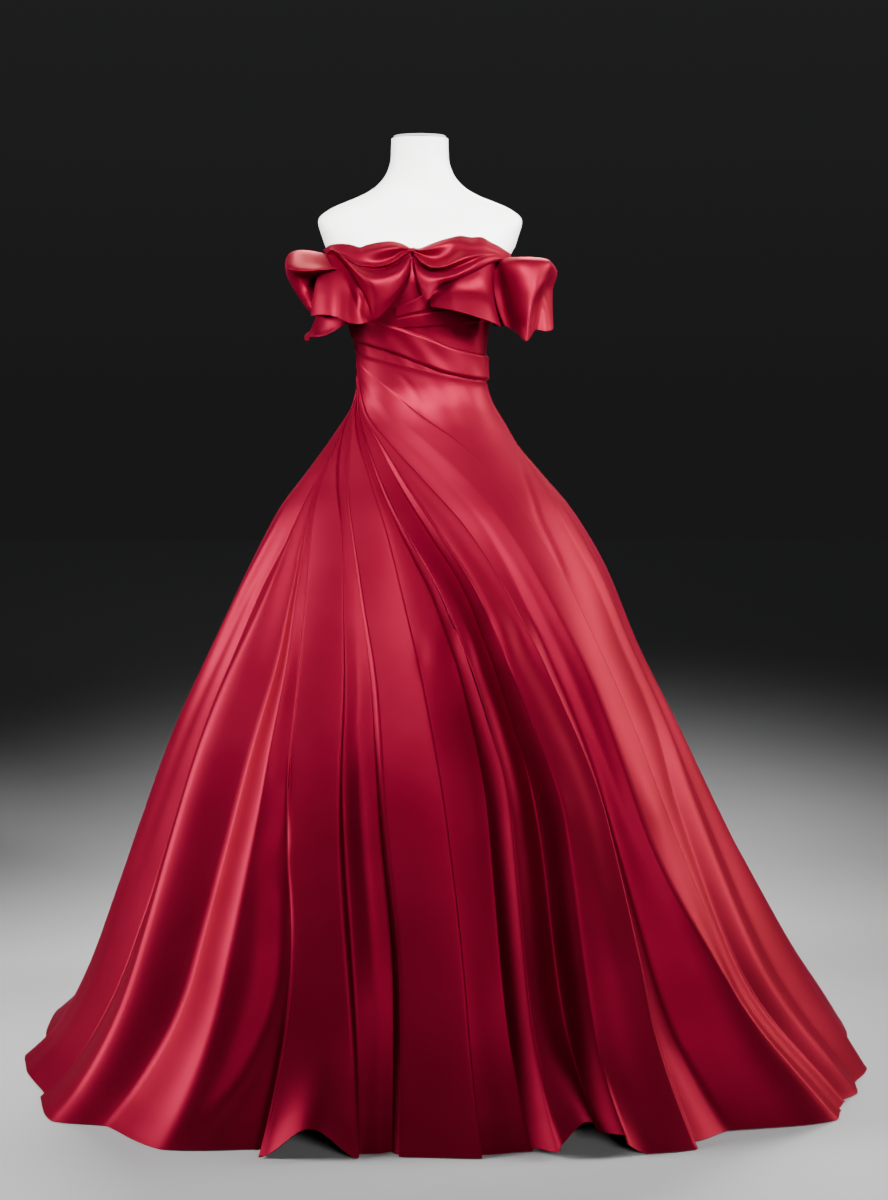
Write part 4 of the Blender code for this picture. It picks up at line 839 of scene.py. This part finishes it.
def make_bodice(look):
    top = column_curve(BODICE_TOP)
    wrap = column_curve(WRAP_TOP + ((RIGHT_SEAM, WAIST),))
    for name, start, end, low, seed in (
            ("bodice_front", LEFT_SEAM, RIGHT_SEAM, lambda a: wrap(a) - UNDER_WRAP, 3),
            ("bodice_back_left", -BACK_EDGE, LEFT_SEAM - SEAM_DEGREES, below_waist, 21),
            ("bodice_back_right", RIGHT_SEAM + SEAM_DEGREES, BACK_EDGE, below_waist, 22)):
        finish_cloth(name + "_satin", name, bodice_sheet(start, end, low, top, seed=seed), look)
    for name, out, ends in BODICE_BANDS:
        band = bodice_sheet(ends[0][0], ends[-1][0], column_curve(ends), column_curve(ends, 2), out, BAND_ROWS,
                            len(name), BAND_RIPPLE)
        finish_cloth(name + "_drape", name, band, look)


def below_waist(angle):
    return np.full_like(angle, WAIST - UNDER_WAIST)


def make_zip(look):
    """The placket over the back seam: two lips of cloth that meet over the closed zip."""
    height = np.linspace(ZIP_TOP, ZIP_BOTTOM, ZIP_ROWS)[:, None]
    across = np.linspace(-1, 1, ZIP_COLUMNS)[None, :]
    groove = np.exp(-(across / 0.10) ** 2)
    edge = np.clip((1 - np.abs(across)) / 0.2, 0, 1) ** 0.5
    drop = (WAIST_LIFT + (1 - WAIST_LIFT) * eased((DROP_FROM - height) / DROP_OVER)) * eased((WAIST - height) / GROWTH)
    out = ZIP_OUT + ZIP_LIP * edge - ZIP_GROOVE * groove + ZIP_LIFT * drop + ZIP_THICK
    radius = dress_radius(height, 180.0) + out
    angle = 180.0 + np.degrees(across * ZIP_WIDTH / 2 / radius)
    finish_cloth("back_zip_placket", "back_zip", place(radius, angle, height), look, ZIP_THICK)


# Dress form

FORM_BOTTOM = 0.880
FORM_TOP = 1.660
FORM_ROWS = 260
FORM_COLUMNS = 180
FORM_SOFTENING = 6
FORM_SHARP = 50
# The grooves around the plates where arms would be: distance from the middle, half width, depth, heights
ARM_PLATE = 0.168
GROOVE_HALF = 0.0008
GROOVE_DEPTH = 0.0006
GROOVE_FROM = 1.36
GROOVE_TO = 1.545
# Turned pieces: distances from the axis and heights, from the top down
TURNED_SIDES = 96
TURNED_SHARP = 35
NECK_DISC = ((0.012, 1.6653), (0.0462, 1.6651), (0.0470, 1.6640), (0.0468, 1.6615), (0.0455, 1.6603))
POLE_TUBE = ((0.0140, 0.8797), (0.0140, 0.0143))
BASE_PLATE = ((0.03, 0.0140), (0.178, 0.0140), (0.1835, 0.0115), (0.185, 0.0045), (0.1845, 0.0020), (0.180, 0.0))


def torso():
    """Points of the form's shell in closed rings, from the neck's top down."""
    angle = np.linspace(-180, 180, FORM_COLUMNS + 1)[None, :]
    height = np.linspace(FORM_BOTTOM, FORM_TOP, FORM_ROWS)[::-1][:, None]
    angle, height = np.broadcast_arrays(angle, height)
    radius = softened(form_radius(height, angle), FORM_SOFTENING)
    side = np.abs(radius * np.sin(np.radians(angle)))
    groove = np.exp(-((side - ARM_PLATE) / GROOVE_HALF) ** 2)
    groove = groove * eased((height - GROOVE_FROM) / 0.02) * eased((GROOVE_TO - height) / 0.01)
    return place(radius - GROOVE_DEPTH * groove, angle, height)[:, :-1]


def turned(outline):
    """Points of a piece turned about the upright axis, in closed rings."""
    turn = np.linspace(0, 2 * np.pi, TURNED_SIDES, endpoint=False)
    return np.array([[(radius * math.sin(t), -radius * math.cos(t), height) for t in turn]
                     for radius, height in outline])


def make_form(body_look, cap_look, stand_look):
    for name, node, slot, rings, sharp, look in (
            ("form_torso_shell", "form_torso", "form", torso(), FORM_SHARP, body_look),
            ("form_neck_disc", "form_neck_cap", "cap", turned(NECK_DISC), TURNED_SHARP, cap_look),
            ("form_pole_tube", "form_pole", "stand", turned(POLE_TUBE), TURNED_SHARP, stand_look),
            ("form_base_plate", "form_base", "stand", turned(BASE_PLATE), TURNED_SHARP, stand_look)):
        piece = make_mesh(name, rings.reshape(-1, 3), ring_faces(*rings.shape[:2]), look)
        piece.data.set_sharp_from_angle(angle=math.radians(sharp))
        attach(piece, "root")
        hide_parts(node)


# Materials

def set_inputs(node, values):
    for name, value in values.items():
        node.inputs[name].default_value = value


def set_ramp(node, *stops):
    for i, (position, colour) in enumerate(stops):
        node.color_ramp.elements[i].position = position
        node.color_ramp.elements[i].color = colour + (1,)


def add_node(tree, kind, values):
    made = tree.nodes.new("ShaderNode" + kind)
    set_inputs(made, values)
    return made


def link(tree, *links):
    for start, output, end, into in links:
        tree.links.new(start.outputs[output], end.inputs[into])


def clouded(name, scale, detail, *stops):
    """A material with a colour that changes in soft clouds, with its shader, coordinates and clouds."""
    made = bpy.data.materials.new(name)
    made.use_nodes = True
    tree = made.node_tree
    shader = tree.nodes["Principled BSDF"]
    place_in = add_node(tree, "TexCoord", {})
    cloud = add_node(tree, "TexNoise", {"Scale": scale, "Detail": detail})
    ramp = add_node(tree, "ValToRGB", {})
    set_ramp(ramp, *stops)
    link(tree, (place_in, "Object", cloud, "Vector"), (cloud, "Fac", ramp, "Fac"),
         (ramp, "Color", shader, "Base Color"))
    return made, shader, place_in, cloud


def satin():
    made, shader, place_in, _ = clouded("red_satin", 9.0, 3.0, (0.3, (0.108, 0.0020, 0.0105)),
                                        (0.7, (0.128, 0.0028, 0.0135)))
    set_inputs(shader, {"Metallic": 0.68, "Specular IOR Level": 0.15, "Specular Tint": (1.0, 0.06, 0.28, 1.0),
                        "Sheen Weight": 0.04, "Sheen Roughness": 0.35, "Sheen Tint": (1.0, 0.05, 0.22, 1.0)})
    tree = made.node_tree
    thread = add_node(tree, "Mapping", {"Scale": (1.0, 1.0, 0.12)})
    weave = add_node(tree, "TexNoise", {"Scale": 900.0, "Detail": 3.0})
    rough = add_node(tree, "MapRange", {"To Min": 0.45, "To Max": 0.54})
    bump = add_node(tree, "Bump", {"Strength": 0.09, "Distance": 0.0004})
    link(tree, (place_in, "Object", thread, "Vector"), (thread, "Vector", weave, "Vector"),
         (weave, "Fac", rough, "Value"), (rough, "Result", shader, "Roughness"),
         (weave, "Fac", bump, "Height"), (bump, "Normal", shader, "Normal"))
    return made


def plain(name, low, high, roughness, scale, strength):
    made, shader, _, cloud = clouded(name, scale, 4.0, (0.0, low), (1.0, high))
    set_inputs(shader, {"Roughness": roughness})
    bump = add_node(made.node_tree, "Bump", {"Strength": strength, "Distance": 0.0003})
    link(made.node_tree, (cloud, "Fac", bump, "Height"), (bump, "Normal", shader, "Normal"))
    return made


# Studio

FLOOR_HALF = 15
FLOOR_LEVEL = -0.0005
WORLD_STRENGTH = 0.05
SENSOR = 36.0
VIEW_END = 60.0
# Lights: name, place, aim, width and height, power in watts, spread in degrees
LIGHTS = (
    ("left", (-3.0, -0.4, 1.6), (-0.2, -0.1, 0.55), (1.2, 2.2), 50.0, 68.0),
    ("right", (3.0, 0.6, 2.1), (0.3, -0.1, 0.80), (1.1, 2.2), 31.0, 62.0),
    ("top", (-0.2, -2.8, 3.1), (0.0, -0.2, 1.44), (1.8, 1.0), 23.0, 26.0),
    ("side", (2.0, -2.2, 2.3), (0.16, -0.1, 1.42), (0.8, 0.8), 7.0, 16.0),
    ("front", (1.5, -4.4, 1.6), (0.15, -0.4, 0.75), (1.2, 1.2), 9.0, 42.0),
    ("back", (0.3, 3.0, 3.2), (0.0, 0.2, 1.10), (2.0, 1.2), 30.0, 50.0),
)


def make_studio():
    scene = bpy.context.scene
    camera = bpy.data.objects.new("camera", bpy.data.cameras.new("camera"))
    scene.collection.objects.link(camera)
    camera.location = CAMERA_PLACE
    camera.rotation_euler = Euler((math.radians(90 - CAMERA_PITCH), 0, 0))
    camera.data.sensor_width = SENSOR
    camera.data.lens = SENSOR * CAMERA_REACH / (2 * FRAME_MIDDLE[1])
    camera.data.clip_end = VIEW_END
    scene.camera = camera

    world = bpy.data.worlds.new("studio")
    scene.world = world
    world.use_nodes = True
    back = world.node_tree.nodes["Background"]
    back.inputs["Strength"].default_value = WORLD_STRENGTH
    spot = add_node(world.node_tree, "TexCoord", {})
    parts = add_node(world.node_tree, "SeparateXYZ", {})
    shade = add_node(world.node_tree, "ValToRGB", {})
    set_ramp(shade, (0.0, (0.26, 0.26, 0.27)), (0.6, (0.62, 0.63, 0.65)))
    link(world.node_tree, (spot, "Generated", parts, "Vector"), (parts, "Z", shade, "Fac"),
         (shade, "Color", back, "Color"))

    mesh = bpy.data.meshes.new("floor")
    corners = ((-1, -1), (1, -1), (1, 1), (-1, 1))
    mesh.from_pydata([(FLOOR_HALF * x, FLOOR_HALF * y, FLOOR_LEVEL) for x, y in corners], [], [(0, 1, 2, 3)])
    mesh.materials.append(plain("floor_paint", (0.40, 0.40, 0.40), (0.43, 0.43, 0.43), 0.7, 3.0, 0.02))
    floor = bpy.data.objects.new("floor", mesh)
    scene.collection.objects.link(floor)

    for name, spot, aim, size, power, spread in LIGHTS:
        light = bpy.data.lights.new(name, "AREA")
        light.shape = "RECTANGLE"
        light.spread = math.radians(spread)
        light.size, light.size_y = size
        light.energy = power
        lamp = bpy.data.objects.new(name, light)
        lamp.location = spot
        lamp.rotation_euler = (Vector(aim) - Vector(spot)).to_track_quat("-Z", "Y").to_euler()
        scene.collection.objects.link(lamp)


SATIN = satin()
make_studio()
make_skirt(SATIN)
make_collar(SATIN)
make_bodice(SATIN)
make_zip(SATIN)
make_form(plain("form_white", (0.90, 0.89, 0.87), (0.94, 0.93, 0.91), 0.45, 40.0, 0.03),
          plain("cap_grey", (0.30, 0.30, 0.32), (0.36, 0.36, 0.38), 0.5, 60.0, 0.03),
          plain("stand_paint", (0.62, 0.62, 0.62), (0.68, 0.68, 0.68), 0.35, 50.0, 0.03))
